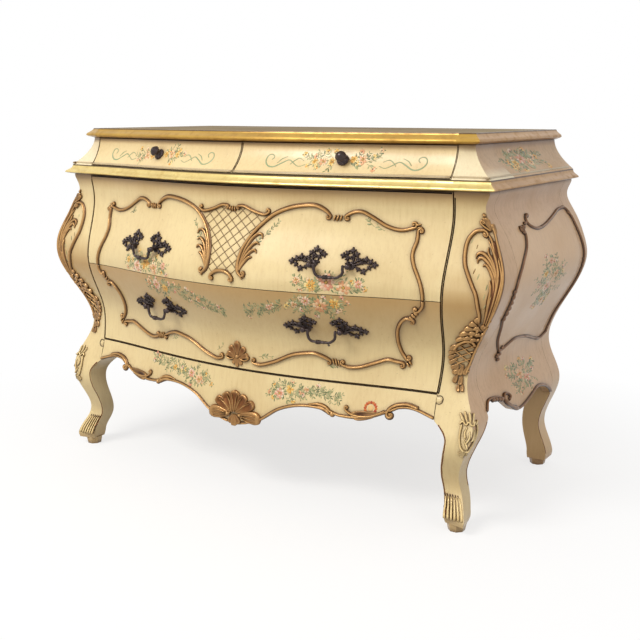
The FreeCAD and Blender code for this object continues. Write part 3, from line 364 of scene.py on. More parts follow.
# The front by (x, z), the sides by (distance before the back plane, z), and the same for the frieze.
FRONT = Skin(lambda x, z: Vector((x, front_y(x, z), z)), (0, -1, 0),
             ("upper_drawer_front", "lower_drawer_front", "front_apron", "front_leg_left", "front_leg_right"))
SIDE = Skin(lambda d, z: Vector((corner_x(z), BACK - d, z)), (1, 0, 0), SIDE_PIECES)
CORNER = Skin(corner_form, (0.707, -0.707, 0))
FRIEZE_FRONT = Skin(lambda x, z: Vector((x, frieze_y(x, z), z)), (0, -1, 0),
                    ("frieze_drawer_left_front", "frieze_drawer_right_front", "frieze_block_left",
                     "frieze_block_right"))
FRIEZE_SIDE = Skin(lambda d, z: Vector((frieze_x(z), BACK - d, z)), (1, 0, 0), FRIEZE_SIDE_PIECES)

# ---------------------------------------------------------------- carving tools

PLAIN = (1, 1, 1)
# Colours of the painted shade at the foot and in the hollows of carving.
UMBER, HONEY = (0.11, 0.06, 0.03), (0.34, 0.20, 0.08)


def shaded(share, depth=UMBER):
    """Tint at a share of a carving's height: painted shade, with some brown glaze, at its foot; none at its
    ridge.
    """
    k = min(max(share * 1.75 - 0.5, 0), 1)
    return tuple(d + (1 - d) * k for d in depth)


class Pile:
    """Gathers pieces of mesh, in millimetres, that become one object."""

    def __init__(self):
        self.points = []
        self.faces = []
        self.tints = []

    def add(self, points, faces, tint=PLAIN):
        """tint is one colour, or one for every point."""
        start = len(self.points)
        self.points.extend(Vector(p) for p in points)
        self.faces.extend([start + i for i in face] for face in faces)
        self.tints.extend(tint if isinstance(tint, list) else [tint] * len(points))

    def mirrored(self):
        twin = Pile()
        twin.add([(-p.x, p.y, p.z) for p in self.points], [face[::-1] for face in self.faces], self.tints)
        return twin

    def join(self, other):
        self.add(other.points, other.faces, other.tints)

    def both_sides(self):
        self.join(self.mirrored())

    def piece(self, name, body, slot, material, stands_for=()):
        mesh = bpy.data.meshes.new(name)
        mesh.from_pydata([p * MM for p in self.points], [], self.faces)
        colours = mesh.color_attributes.new("tint", "FLOAT_COLOR", "POINT")
        for entry, tint in zip(colours.data, self.tints):
            entry.color = (*tint, 1)
        mesh.materials.append(material)
        mesh.shade_smooth()
        thing = bpy.data.objects.new(name, mesh)
        SCENE.collection.objects.link(thing)
        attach(thing, body)
        if stands_for:
            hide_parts(*stands_for)
        return thing


def woven(rows, sides, closed=True):
    """Faces between rows of points. A closed skin runs round, an open one stops at its last point."""
    faces = []
    for i in range(rows - 1):
        for k in range(sides if closed else sides - 1):
            a, b = i * sides + k, i * sides + (k + 1) % sides
            faces.append((a, b, b + sides, a + sides))
    return faces


def turned_over(faces):
    return [(a, d, c, b) for a, b, c, d in faces]


def end_caps(rows, sides):
    """The faces that close the first and the last row."""
    return [tuple(reversed(range(sides))), tuple((rows - 1) * sides + k for k in range(sides))]


def refine(line, step=3.0):
    """Evenly spaced points on the smooth curve through the points of a line."""
    line = [Vector((a, b)) for a, b in line]
    ends = [line[0] * 2 - line[1]] + line + [line[-1] * 2 - line[-2]]
    fine = []
    for p0, p1, p2, p3 in zip(ends, ends[1:], ends[2:], ends[3:]):
        count = max(int((p2 - p1).length), 2)
        for i in range(count):
            t = i / count
            fine.append(0.5 * (2 * p1 + (p2 - p0) * t + (2 * p0 - 5 * p1 + 4 * p2 - p3) * t ** 2
                               + (3 * p1 - p0 - 3 * p2 + p3) * t ** 3))
    fine.append(line[-1])
    total = sum((b - a).length for a, b in zip(fine, fine[1:]))
    count = max(int(total / step), 3)
    out, walked, k = [], 0.0, 0
    for i in range(count + 1):
        target = total * i / count
        while k < len(fine) - 2 and walked + (fine[k + 1] - fine[k]).length < target:
            walked += (fine[k + 1] - fine[k]).length
            k += 1
        span = (fine[k + 1] - fine[k]).length
        share = min(max((target - walked) / span, 0), 1) if span > 1e-9 else 0
        out.append(fine[k].lerp(fine[k + 1], share))
    return out


# Sections across a moulding: place across, from -0.5 to 0.5, and height, from 0 to 1.
RAIL = [(-0.5, 0), (-0.47, 0.3), (-0.38, 0.4), (-0.3, 0.34), (-0.22, 0.7), (-0.08, 0.95), (0.06, 1.0),
        (0.22, 0.88), (0.36, 0.5), (0.45, 0.3), (0.5, 0)]
ROUND = [(-0.5, 0), (-0.45, 0.45), (-0.32, 0.78), (-0.15, 0.96), (0, 1), (0.15, 0.96), (0.32, 0.78),
         (0.45, 0.45), (0.5, 0)]
STROKE = [(-0.5, 0), (-0.4, 1), (0.4, 1), (0.5, 0)]


def around(at, reach, angle):
    """The spot at some reach from another, in the direction of an angle."""
    return at[0] + reach * math.cos(angle), at[1] + reach * math.sin(angle)


def ring_of(count):
    """The angles of so many things evenly round a circle."""
    return [2 * math.pi * k / count for k in range(count)]


def read(value, t):
    """A number as it is, or stations read at a share of the way."""
    return value if isinstance(value, (int, float)) else smooth(value, t)


def sweep(pile, skin, line, width, height, section=RAIL, step=3.0, lift=-0.8, tint=None, depth=UMBER):
    """A moulding along a line on a skin. width and height are numbers, or stations along the line from
    0 to 1. Without a tint of its own it is shaded from its foot to its ridge."""
    path = refine(line, step)
    count = len(path)
    points, tints = [], []
    for i, spot in enumerate(path):
        t = i / (count - 1)
        wide, high = read(width, t), read(height, t)
        before, after = path[max(i - 1, 0)], path[min(i + 1, count - 1)]
        along = skin.form(after.x, after.y) - skin.form(before.x, before.y)
        normal = skin.normal(spot.x, spot.y)
        across = normal.cross(along).normalized()
        base = skin.at(spot.x, spot.y) + normal * lift
        for u, v in section:
            points.append(base + across * (u * wide) + normal * (v * (high - lift)))
            tints.append(tint or shaded(v, depth))
    sides = len(section)
    caps = [cap[::-1] for cap in end_caps(count, sides)]
    pile.add(points, turned_over(woven(count, sides)) + caps, tints)


def dome(pile, skin, spot, radius, height, lift=-0.8, tint=None, stretch=1.0, turn=0.0, rings=4, sides=12):
    """A rounded button on a skin, stretched along a turned axis."""
    normal = skin.normal(*spot)
    points, tints = [], []
    for ring in range(rings):
        angle = math.pi / 2 * ring / rings
        for bearing in ring_of(sides):
            a = radius * math.cos(angle) * math.cos(bearing) * stretch
            b = radius * math.cos(angle) * math.sin(bearing)
            a, b = a * math.cos(turn) - b * math.sin(turn), a * math.sin(turn) + b * math.cos(turn)
            rise = math.sin(angle)
            points.append(skin.at(spot[0] + a, spot[1] + b) + normal * (lift + (height - lift) * rise))
            # Without a tint of its own it has painted shade at its foot and none at its top.
            tints.append(tint or shaded(rise * 0.9))
    points.append(skin.at(*spot) + normal * height)
    tints.append(tint or PLAIN)
    last = (rings - 1) * sides
    tip = [(last + k, last + (k + 1) % sides, len(points) - 1) for k in range(sides)]
    pile.add(points, woven(rings, sides) + tip + end_caps(rings, sides)[:1], tints)


# How deep a lobe's hollow is and how high its rim stands, from its root at 0 to its tip at 1.
HOLLOW_ALONG = [(0, 0.1), (0.3, 0.5), (0.7, 1), (0.92, 0.35), (1, 0)]
RIM_ALONG = [(0, 0.6), (0.8, 1), (0.94, 0.9), (1, 0.05)]


def lobe(pile, skin, root, tip, width, height, hollow=0.5, lift=-0.8, depth=UMBER, rows=10, cols=8):
    """One lobe of a shell or leaf: narrow at its root, round at its tip, a raised rim round a hollow."""
    root, tip = Vector(root), Vector(tip)
    reach = tip - root
    aside = Vector((-reach.y, reach.x)).normalized()
    points, tints = [], []
    for i in range(rows + 1):
        t = i / rows
        spread = math.sin(math.pi / 2 * min(t * 1.3 + 0.12, 1))
        if t > 0.7:
            spread = math.sqrt(max(1 - ((t - 0.7) / 0.3) ** 2, 0.0))
        spread = max(spread, 0.08) * width / 2
        for k in range(cols + 1):
            s = -1 + 2 * k / cols
            spot = root + reach * t + aside * (s * spread)
            dip = hollow * (1 - abs(s) ** 2.5) * smooth(HOLLOW_ALONG, t)
            edge = (1 - abs(s) ** 8) * smooth(RIM_ALONG, t)
            rise = max((1 - dip) * edge, 0)
            points.append(skin.lifted(spot.x, spot.y, lift + rise * (height - lift)))
            # Painted shade at the lobe's foot and in its hollow, none on its rim.
            tints.append(shaded(edge * (1 - 1.5 * dip), depth))
    pile.add(points, turned_over(woven(rows + 1, cols + 1, closed=False)), tints)


def beads(pile, skin, first, last, count, radius, height):
    """A row of small ribs, each set across the row."""
    first, last = Vector(first), Vector(last)
    turn = math.atan2(last.y - first.y, last.x - first.x) + math.pi / 2
    for i in range(count):
        spot = first.lerp(last, i / max(count - 1, 1))
        dome(pile, skin, (spot.x, spot.y), radius, height, stretch=1.5, turn=turn)


def turned(pile, place, axis, profile, sides=28, tint=PLAIN):
    """A body of revolution: (radius, height) stations along an axis."""
    axis = Vector(axis).normalized()
    first = axis.orthogonal().normalized()
    second = axis.cross(first)
    points = []
    for radius, height in profile:
        for angle in ring_of(sides):
            spoke = first * math.cos(angle) + second * math.sin(angle)
            points.append(place + axis * height + spoke * radius)
    pile.add(points, woven(len(profile), sides) + end_caps(len(profile), sides), tint)


def tube(pile, path, radius, sides=12, lobes=0, twist=0.0, tint=PLAIN):
    """A round bar along 3-D points, or a twisted one with lobes round its section."""
    count = len(path)
    side = None
    points = []
    for i, spot in enumerate(path):
        along = (path[min(i + 1, count - 1)] - path[max(i - 1, 0)]).normalized()
        side = along.orthogonal() if side is None else side - along * side.dot(along)
        side.normalize()
        third = along.cross(side)
        thick = read(radius, i / (count - 1))
        for angle in ring_of(sides):
            reach = thick * (1 + 0.16 * math.cos(lobes * (angle + twist * i))) if lobes else thick
            points.append(spot + (side * math.cos(angle) + third * math.sin(angle)) * reach)
    pile.add(points, woven(count, sides) + end_caps(count, sides), tint)


# ---------------------------------------------------------------- finishes


# Painted shade, and glaze, under each moulding: from, to, cut off at, and how much. Then the heights of the
# painted shade under the belly.
BANDS = ((0.690, 0.724, (Z_WAIST + 0.5) * MM, 0.8), (0.806, 0.819, (Z_TOP + 2) * MM, 0.7))
BELLY_FROM, BELLY_TO, BELLY_OUT, BELLY_OVER = 0.385, 0.495, 0.50, 0.58
CREASE = (Z_JOINT + 0.5) * MM
# Dark joints of the mouldings: height and half width.
JOINTS = (((Z_WAIST + 0.5) * MM, 0.0035), ((Z_FRIEZE - 0.5) * MM, 0.0028), (Z_TOP * MM, 0.003),
          ((Z_CROWN + 0.5) * MM, 0.0035))


def open_group(name, inputs):
    """A node group with its input and output nodes. Every group gives a colour, roughness and height."""
    group = bpy.data.node_groups.new(name, "ShaderNodeTree")
    for label, kind, value in inputs:
        socket = group.interface.new_socket(label, in_out="INPUT", socket_type="NodeSocket" + kind)
        socket.default_value = value
    for label, kind in (("Color", "Color"), ("Roughness", "Float"), ("Height", "Float")):
        group.interface.new_socket(label, in_out="OUTPUT", socket_type="NodeSocket" + kind)
    return Tree(group), group.nodes.new("NodeGroupInput").outputs, group.nodes.new("NodeGroupOutput").inputs


def glaze_and_shade_group():
    """Old paint under a rubbed brown glaze: clouds of tone, upright brush drag and specks. Then painted
    shade:
    darker in the recesses and near other parts, under each moulding, where glaze gathers too, and under the
    belly."""
    tree, given, result = open_group(
        "aged_paint_and_painted_shade",
        [("Paint", "Color", (0.8, 0.7, 0.4, 1)), ("Shade", "Color", (0.5, 0.35, 0.15, 1)),
         ("Dirt_And_Shade", "Color", (0.16, 0.09, 0.04, 1)), ("Cloud", "Float", 0.35), ("Drag", "Float", 0.25),
         ("Recess", "Float", 0.8), ("Bands", "Float", 0.0), ("Crease", "Float", 0.0),
         ("Gloss", "Float", 0.34)])
    coords = tree.node("TexCoord").outputs["Object"]
    height = tree.node("SeparateXYZ", {"Vector": coords}).outputs["Z"]
    cloud = tree.ramp(tree.noise(coords, 5.5, 5, 0.6), 0.42, 0.72)
    drag = tree.ramp(tree.noise(coords, 30, 3, 0.7, (5, 5, 0.35)), 0.45, 0.75)
    specks = tree.ramp(tree.noise(coords, 230, 2, 0.5), 0.68, 0.76)
    shade = tree.mix(tree.times(cloud, given["Cloud"]), given["Paint"], given["Shade"])
    shade = tree.mix(tree.times(drag, given["Drag"]), shade, given["Shade"])
    shade = tree.mix(tree.times(specks, 0.25), shade, given["Dirt_And_Shade"])
    # Painted shade under each moulding, with some glaze, and under the belly where the front turns downwards;
    # cut off sharp at the drawer joint where Crease is 1.
    bands = 0.0
    for foot, head, below, share in BANDS:
        under = tree.times(tree.ramp(height, foot, head), tree.math("LESS_THAN", height, below))
        bands = tree.most(bands, tree.times(under, share))
    soft = tree.times(tree.ramp(height, BELLY_OUT, BELLY_OVER, 1.0, 0.0),
                     tree.math("SUBTRACT", 1.0, given["Crease"]))
    sharp = tree.times(tree.math("LESS_THAN", height, CREASE), given["Crease"])
    belly = tree.times(tree.ramp(height, BELLY_FROM, BELLY_TO), tree.plus(soft, sharp))
    bands = tree.most(bands, tree.times(belly, 0.75))
    shade = tree.mix(tree.times(bands, given["Bands"]), shade, given["Shade"])
    # Painted shade from ambient occlusion: the near one brings the darkest colour into the recesses, the wide
    # one darkens the paint beside other parts.
    near = tree.node("AmbientOcclusion", {"Distance": 0.012}, samples=6).outputs["AO"]
    wide = tree.node("AmbientOcclusion", {"Distance": 0.07}, samples=6).outputs["AO"]
    recess = tree.times(tree.ramp(near, 0.35, 0.95, 1.0, 0.0), given["Recess"])
    shade = tree.mix(tree.ramp(wide, 0.45, 0.98, 0.5, 0.0), shade, given["Shade"], "MULTIPLY")
    tree.link(tree.mix(recess, shade, given["Dirt_And_Shade"]), result["Color"])
    tree.link(tree.plus(given["Gloss"], tree.times(cloud, 0.16)), result["Roughness"])
    tree.link(tree.plus(tree.times(drag, 0.5), tree.times(cloud, 0.5)),
              result["Height"])
    return tree.tree


def leaf_gold_group():
    """Gold leaf: bright on the ridges, rubbed to red clay in spots, brown in the recesses: old grime and
    painted shade.
    """
    tree, given, result = open_group(
        "gold_leaf_and_painted_shade",
        [("Gold", "Color", (0.8, 0.55, 0.2, 1)), ("Clay", "Color", (0.3, 0.12, 0.05, 1)),
         ("Recess", "Color", (0.07, 0.035, 0.015, 1)), ("Wear", "Float", 0.4), ("Depth", "Float", 1.0),
         ("Reach", "Float", 0.006), ("Lines", "Float", 0.0)])
    coords = tree.node("TexCoord").outputs["Object"]
    worn = tree.ramp(tree.noise(coords, 48, 5, 0.65), 0.5, 0.7)
    streak = tree.ramp(tree.noise(coords, 16, 4, 0.6), 0.35, 0.75)
    tone = tree.mix(tree.times(worn, given["Wear"]), given["Gold"], given["Clay"])
    tone = tree.mix(tree.times(streak, 0.3), tone, given["Clay"], "MULTIPLY")
    # Painted shade: ambient occlusion brings the recess colour into the hollows.
    hidden = tree.node("AmbientOcclusion", {"Distance": given["Reach"]}, samples=8).outputs["AO"]
    recess = tree.times(tree.ramp(hidden, 0.3, 0.85, 1.0, 0.0), given["Depth"])
    height = tree.node("SeparateXYZ", {"Vector": coords}).outputs["Z"]
    lines = 0.0
    for middle, half in JOINTS:
        away = tree.math("ABSOLUTE", tree.math("SUBTRACT", height, middle))
        lines = tree.most(lines, tree.ramp(away, half * 0.5, half, 1.0, 0.0))
    recess = tree.most(recess, tree.times(lines, given["Lines"]))
    tree.link(tree.mix(recess, tone, given["Recess"]), result["Color"])
    tree.link(tree.ramp(worn, 0, 1, 0.28, 0.5), result["Roughness"])
    tree.link(tree.plus(worn, tree.times(streak, 0.6)), result["Height"])
    return tree.tree


PAINT = glaze_and_shade_group()
LEAF = leaf_gold_group()


def lay_on(tree, shader, coat_of, colour, bump, coat):
    """Joins a group's results to the shader."""
    tree.link(colour, shader.inputs["Base Color"])
    tree.link(coat_of.outputs["Roughness"], shader.inputs["Roughness"])
    bumped = tree.node("Bump", {"Height": coat_of.outputs["Height"], "Strength": bump, "Distance": 0.0004})
    tree.link(bumped.outputs["Normal"], shader.inputs["Normal"])
    shader.inputs["Coat Weight"].default_value = coat


def finish_of(name, group, values, metallic=0.0, coat=0.0, bump=0.15, tinted=False):
    """A material from one of the groups. A tinted one takes its carved pieces' own shading as well."""
    material, tree, shader = new_material(name)
    made = tree.node("Group", values, node_tree=group)
    colour = made.outputs["Color"]
    if tinted:
        tint = tree.node("Attribute", attribute_name="tint").outputs["Color"]
        colour = tree.mix(1.0, colour, tint, "MULTIPLY")
    lay_on(tree, shader, made, colour, bump, coat)
    shader.inputs["Metallic"].default_value = metallic
    shader.inputs["Coat Roughness"].default_value = 0.2
    return material


def tones(paint, shade, dirt_and_shade, **values):
    """The colours of a paint, and whatever else is set in its group."""
    return {"Paint": (*paint, 1), "Shade": (*shade, 1), "Dirt_And_Shade": (*dirt_and_shade, 1), **values}


def gilded(name, gold, clay, recess, metallic, bump=0.25, tinted=False, **values):
    """A gold leaf of these colours."""
    colours = {"Gold": (*gold, 1), "Clay": (*clay, 1), "Recess": (*recess, 1)}
    return finish_of(name, LEAF, {**colours, **values}, metallic, bump=bump, tinted=tinted)


CREAM_TONES = tones((0.83, 0.675, 0.365), (0.45, 0.245, 0.065), (0.13, 0.06, 0.02), Cloud=0.22, Drag=0.16,
                    Bands=1.0)
ROSE_TONES = tones((0.75, 0.50, 0.285), (0.48, 0.28, 0.135), (0.16, 0.08, 0.04), Drag=0.45, Bands=0.5)
CREAM = finish_of("cream_paint", PAINT, {**CREAM_TONES, "Crease": 1.0}, coat=0.25)
ROSE = finish_of("rose_beige_paint", PAINT, ROSE_TONES, coat=0.15)


# The lighter oval on a side: its middle (y, z), its half sizes and its colour.
FIELD_MIDDLE, FIELD_HALF, FIELD_COLOUR = (0.068, 0.512), (0.25, 0.165), (0.95, 0.68, 0.41, 1)


def lighten_side_field():
    """Inside the carved rails of a side the rose paint is lighter, fading out round an oval."""
    tree = Tree(ROSE.node_tree)
    shader = tree.nodes["Principled BSDF"]
    paint = shader.inputs["Base Color"].links[0].from_socket
    place = tree.node("SeparateXYZ", {"Vector": tree.node("TexCoord").outputs["Object"]})
    away = 0.0
    for socket, middle, half in zip(("Y", "Z"), FIELD_MIDDLE, FIELD_HALF):
        reach = tree.math("DIVIDE", tree.math("SUBTRACT", place.outputs[socket], middle), half)
        away = tree.plus(away, tree.times(reach, reach))
    field = tree.mix(tree.ramp(away, 0.5, 1.15, 0.38, 0.0), paint, FIELD_COLOUR)
    tree.link(field, shader.inputs["Base Color"])


lighten_side_field()
# A darker copy of the rose paint for the frieze sides, with more of the bands: painted shade under the top
# moulding.
SHADED_FRIEZE_SIDE_TONES = tones((0.66, 0.44, 0.22), (0.36, 0.19, 0.08), (0.16, 0.08, 0.04), Drag=0.5, Bands=1.2)
SHADED_FRIEZE_ROSE = finish_of("frieze_side_shaded_paint", PAINT, SHADED_FRIEZE_SIDE_TONES)
OLIVE = finish_of("olive_top_paint", PAINT, tones((0.20, 0.132, 0.036), (0.10, 0.063, 0.018),
                                                  (0.03, 0.025, 0.02), Cloud=0.7, Gloss=0.6))
BARE = finish_of("bare_wood", PAINT, tones((0.42, 0.28, 0.15), (0.27, 0.16, 0.08), (0.12, 0.07, 0.04),
                                           Drag=0.7, Gloss=0.6), bump=0.3)
PAINTED = finish_of("flower_paint", PAINT,
                    tones((0.97, 0.96, 0.93), (0.74, 0.68, 0.56), (0.5, 0.42, 0.3), Cloud=0.5, Recess=0.1),
                    coat=0.2, tinted=True)
TINTED_CREAM = finish_of("shaded_cream_paint", PAINT, CREAM_TONES, coat=0.25, tinted=True)
# Near black: painted shadow in the gaps round the drawers, and the dark edge round the apron's key.
SHADOW = finish_of("dark_edge_and_gap_shadow_paint", PAINT,
                   tones((0.014, 0.009, 0.005), (0.008, 0.005, 0.003), (0.008, 0.005, 0.004), Gloss=0.6))
SHADOW.node_tree.nodes["Principled BSDF"].inputs["Specular IOR Level"].default_value = 0.1
GILT = gilded("gilt_moulding", (0.56, 0.34, 0.06), (0.30, 0.15, 0.03), (0.07, 0.035, 0.015), 0.5, 0.2,
              Wear=0.45, Lines=0.9)
# A darker copy of the moulding gilt for the side mouldings: painted shade and a darker painted reflection.
SHADED_SIDE_GILT = gilded("gilt_side_moulding_shaded", (0.50, 0.27, 0.075), (0.25, 0.12, 0.03), (0.06, 0.03, 0.015),
                   0.3, 0.2, Wear=0.45, Lines=0.9)
# A brighter copy of the moulding gilt for the front of the waist moulding: a painted highlight.
HIGHLIT_WAIST_GILT = gilded("gilt_waist_moulding_highlit", (0.82, 0.66, 0.26), (0.46, 0.28, 0.06), (0.07, 0.035, 0.015),
                    0.4, 0.2, Wear=0.4, Lines=0.9)
CARVED_GILT = gilded("carved_gilt", (0.56, 0.325, 0.12), (0.28, 0.13, 0.045), (0.06, 0.03, 0.012), 0.5,
                     tinted=True, Wear=0.5)
# A darker, browner copy of the carved gilt for the carving on the sides: painted shade there.
SHADED_BROWN_GILT = gilded("brown_gilt_shaded", (0.30, 0.15, 0.065), (0.15, 0.07, 0.03), (0.05, 0.025, 0.012), 0.3,
                    tinted=True, Wear=0.5)
PALE_GILT = gilded("pale_gilt", (0.84, 0.66, 0.33), (0.56, 0.36, 0.13), (0.09, 0.045, 0.02), 0.2, 0.2,
                   tinted=True, Wear=0.5)
BRONZE = gilded("dark_bronze", (0.058, 0.038, 0.036), (0.028, 0.017, 0.015), (0.006, 0.005, 0.005), 0.45, 0.3,
                Wear=0.5)


def cornered_paint(name, front_tones, side_tones, ankle=0.13, knee=0.24):
    """Two paints on one piece: the second on its outer side faces, coming in between two heights."""
    material, tree, shader = new_material(name)
    front, side = [tree.node("Group", values, node_tree=PAINT) for values in (front_tones, side_tones)]
    coords = tree.node("TexCoord").outputs
    place = tree.node("SeparateXYZ", {"Vector": coords["Object"]}).outputs
    facing = tree.node("SeparateXYZ", {"Vector": coords["Normal"]}).outputs
    outward = tree.times(tree.math("SIGN", place["X"]), facing["X"])
    share = tree.times(tree.ramp(outward, 0.62, 0.72), tree.ramp(place["Z"], ankle, knee))
    lay_on(tree, shader, front, tree.mix(share, front.outputs["Color"], side.outputs["Color"]), 0.15, 0.2)
    return material


CORNERED = cornered_paint("cream_and_rose_paint", CREAM_TONES, ROSE_TONES)
REAR_LEG = cornered_paint("rear_leg_paint", {**CREAM_TONES, "Paint": (0.72, 0.49, 0.235, 1)}, ROSE_TONES,
                          0.20, 0.25)
# The frieze blocks: a lighter cream on their fronts, a painted highlight, and the darker frieze-side rose,
# painted shade, on their sides.
FRIEZE_BLOCK = cornered_paint("frieze_block_highlit_and_shaded_paint", {**CREAM_TONES, "Paint": (0.90, 0.80, 0.54, 1)},
                              SHADED_FRIEZE_SIDE_TONES)
FINISHES = {"top_paint": OLIVE, "front_paint": CREAM, "side_paint": ROSE, "gilt": GILT, "carving_gilt": GILT,
            "raw_wood": BARE, "bronze": BRONZE}
# Pieces with a finish of their own, by a part of their names.
OWN_FINISHES = {"front_leg": CORNERED, "frieze_block": FRIEZE_BLOCK, "rear_leg": REAR_LEG,
                "frieze_side": SHADED_FRIEZE_ROSE, "moulding_left": SHADED_SIDE_GILT, "moulding_right": SHADED_SIDE_GILT,
                "waist_moulding_front": HIGHLIT_WAIST_GILT}


def dress_nodes():
    """Every carried-over piece gets its finish."""
    slots = {entry["node"]: entry["material_slot"] for entry in frame["record"]["subparts"]}
    for name, thing in NODES.items():
        own = [OWN_FINISHES[part] for part in OWN_FINISHES if part in name]
        material = own[0] if own else FINISHES[slots[name]]
        if not thing.data.materials:
            thing.data.materials.append(material)
        for slot in thing.material_slots:
            slot.material = material


# ---------------------------------------------------------------- gilt carving on the drawers


def rolled_end(line, side, radius, turns=1.0, tight=0.3):
    """A line whose end rolls up to its left (side 1) or right (side -1), and the eye of that volute."""
    end = Vector(line[-1])
    heading = (end - Vector(line[-2])).normalized()
    away = Vector((-heading.y, heading.x)) * side
    eye = end + away * radius
    start = math.atan2(-away.y, -away.x)
    steps = int(10 * turns)
    rolled = []
    for i in range(1, steps + 1):
        share = i / steps
        reach = radius * (1 - (1 - tight) * share)
        rolled.append(around(eye, reach, start + side * 2 * math.pi * turns * share))
    return list(line) + rolled, (eye.x, eye.y)


def rail(pile, skin, line, start=(0, 0), end=(0, 0), width=9.5, high=6.4, section=RAIL):
    """A carved rail. start and end each give the side that the rail rolls up to and the radius."""
    wide, tall = [(0, width), (1, width)], [(0, high), (1, high)]
    eyes = []
    if end[0]:
        line, eye = rolled_end(line, *end)
        eyes.append((eye, end[1]))
        wide[-1:] = [(0.86, width), (1, width * 0.5)]
    if start[0]:
        line, eye = rolled_end(line[::-1], *start)
        line = line[::-1]
        eyes.append((eye, start[1]))
        wide[:1] = [(0, width * 0.5), (0.14, width)]
    sweep(pile, skin, line, wide, tall, section)
    for eye, radius in eyes:
        dome(pile, skin, eye, radius * 0.62, high * 1.04)


def ribs(pile, skin, at, angle, count=3, gap=6.5, length=15, high=6.6, lean=18):
    """Short round ribs side by side, between two rails that meet. angle is the way the row runs."""
    row = Matrix.Rotation(math.radians(angle), 2)
    for i in range(count):
        u = (i - (count - 1) / 2) * gap
        half = length / 2 * (1 - 0.12 * abs(i - (count - 1) / 2))
        slant = half * math.tan(math.radians(lean))
        ends = [Vector(at) + row @ Vector((u + k * slant, k * half)) for k in (-1, 0, 1)]
        sweep(pile, skin, [tuple(end) for end in ends], [(0, 3.4), (0.5, gap * 0.86), (1, 3.4)],
              [(0, high * 0.55), (0.5, high), (1, high * 0.55)], ROUND, 1.8)


def frond(pile, skin, line, width, high=6.0):
    """One finger of a leaf: it swells, then thins out to a tip that rolls over."""
    sweep(pile, skin, line, [(0, width * 0.5), (0.55, width), (0.88, width * 0.8), (1, width * 0.3)],
          [(0, high * 0.5), (0.6, high * 0.8), (0.9, high), (1, high * 0.5)], RAIL, 2.2)


def fronds(pile, skin, width, high, *lines):
    for line in lines:
        frond(pile, skin, line, width, high)


def lobes(pile, skin, height, hollow, *each, **settings):
    """Several lobes alike: each is its root, its tip and its width."""
    for root, tip, width in each:
        lobe(pile, skin, root, tip, width, height, hollow, **settings)


def upper_cartouche():
    """Rails, leaves and lattice frame on the upper drawer, right half, then mirrored."""
    pile = Pile()
    rail(pile, FRONT, [(437, 642), (437, 622), (433, 604), (433, 590), (440, 571), (450, 553), (458, 536),
                       (463, 518), (464, 503.6)], start=(-1, 6.5))
    rail(pile, FRONT, [(428, 649), (400, 643), (369, 650), (336, 668), (315, 678), (296, 677), (280, 669)],
         start=(1, 6.5), end=(1, 6))
    ribs(pile, FRONT, (437, 652), -60, 2, 6.5, 13)
    ribs(pile, FRONT, (261, 663), 0, 3, 7, 13)
    rail(pile, FRONT, [(243, 669), (230, 680), (210, 688), (186, 688), (148, 681), (110, 665), (80, 640),
                       (60, 614), (46, 585), (42, 558), (44, 540), (53, 530)],
         start=(-1, 6), end=(1, 7), width=11)
    fronds(pile, FRONT, 10, 6, [(46, 545), (52, 578), (62, 604), (76, 619), (88, 620), (92, 611)],
           [(46, 542), (55, 572), (66, 592), (79, 602), (88, 598)],
           [(47, 540), (57, 566), (68, 581), (79, 586), (85, 580)],
           [(48, 540), (57, 558), (67, 569), (76, 571)])
    rail(pile, FRONT, [(95, 667), (84, 663), (58, 669), (32, 679), (16, 679)], start=(1, 5), end=(1, 4.5),
         width=8.5)
    dome(pile, FRONT, (99, 657), 5, 6.4)
    ribs(pile, FRONT, (58, 529), 40, 2, 6, 11)
    pile.both_sides()
    ribs(pile, FRONT, (0, 672), 0, 3, 6.5, 12, lean=0)
    rail(pile, FRONT, [(-30, 523), (-22, 531), (-8, 536), (8, 536), (22, 531), (30, 523)], start=(1, 5),
         end=(-1, 5), width=8.5, section=ROUND)
    pile.piece("upper_drawer_carved_rails", "upper_drawer", "carving_gilt", CARVED_GILT,
               ["upper_drawer_cartouche"])


def lower_cartouche():
    """Rails and palmette on the lower drawer."""
    pile = Pile()
    rail(pile, FRONT, [(464, 500.4), (463, 490), (457, 481), (451, 477)], end=(-1, 5))
    beads(pile, FRONT, (447, 473), (436, 461), 3, 4.6, 6)
    rail(pile, FRONT, [(437, 458), (424, 460), (410, 448), (400, 428), (397, 403), (402, 380), (412, 364)],
         start=(-1, 5.5), end=(1, 6.5))
    ribs(pile, FRONT, (419, 354), 52, 2, 6.5, 13)
    rail(pile, FRONT, [(404, 354), (388, 356), (370, 358), (343, 348), (310, 336), (285, 333), (269, 337)],
         start=(-1, 6.5), end=(-1, 5.5))
    ribs(pile, FRONT, (255, 341), -10, 3, 6.5, 14, lean=-30)
    rail(pile, FRONT, [(240, 344), (225, 351), (203, 357), (180, 355), (146, 347), (103, 327), (66, 315),
                       (47, 317)], start=(-1, 5.5), end=(-1, 6))
    lobe(pile, FRONT, (4, 326), (22, 351), 17, 6.4, 0.5, depth=HONEY)
    lobe(pile, FRONT, (5, 322), (31, 334), 14, 6.0, 0.4, depth=HONEY)
    lobe(pile, FRONT, (3, 328), (12, 306), 11, 5.6, 0.3, depth=HONEY)
    rail(pile, FRONT, [(8, 322), (20, 318), (30, 322)], end=(1, 4.5), width=6, high=6)
    pile.both_sides()
    lobe(pile, FRONT, (0, 328), (0, 364), 20, 6.6, 0.5, depth=HONEY)
    lobe(pile, FRONT, (0, 330), (0, 300), 11, 6, 0.3, depth=HONEY)
    dome(pile, FRONT, (0, 326), 6, 6.8)
    pile.piece("lower_drawer_carved_rails", "lower_drawer", "carving_gilt", CARVED_GILT,
               ["lower_drawer_cartouche"])


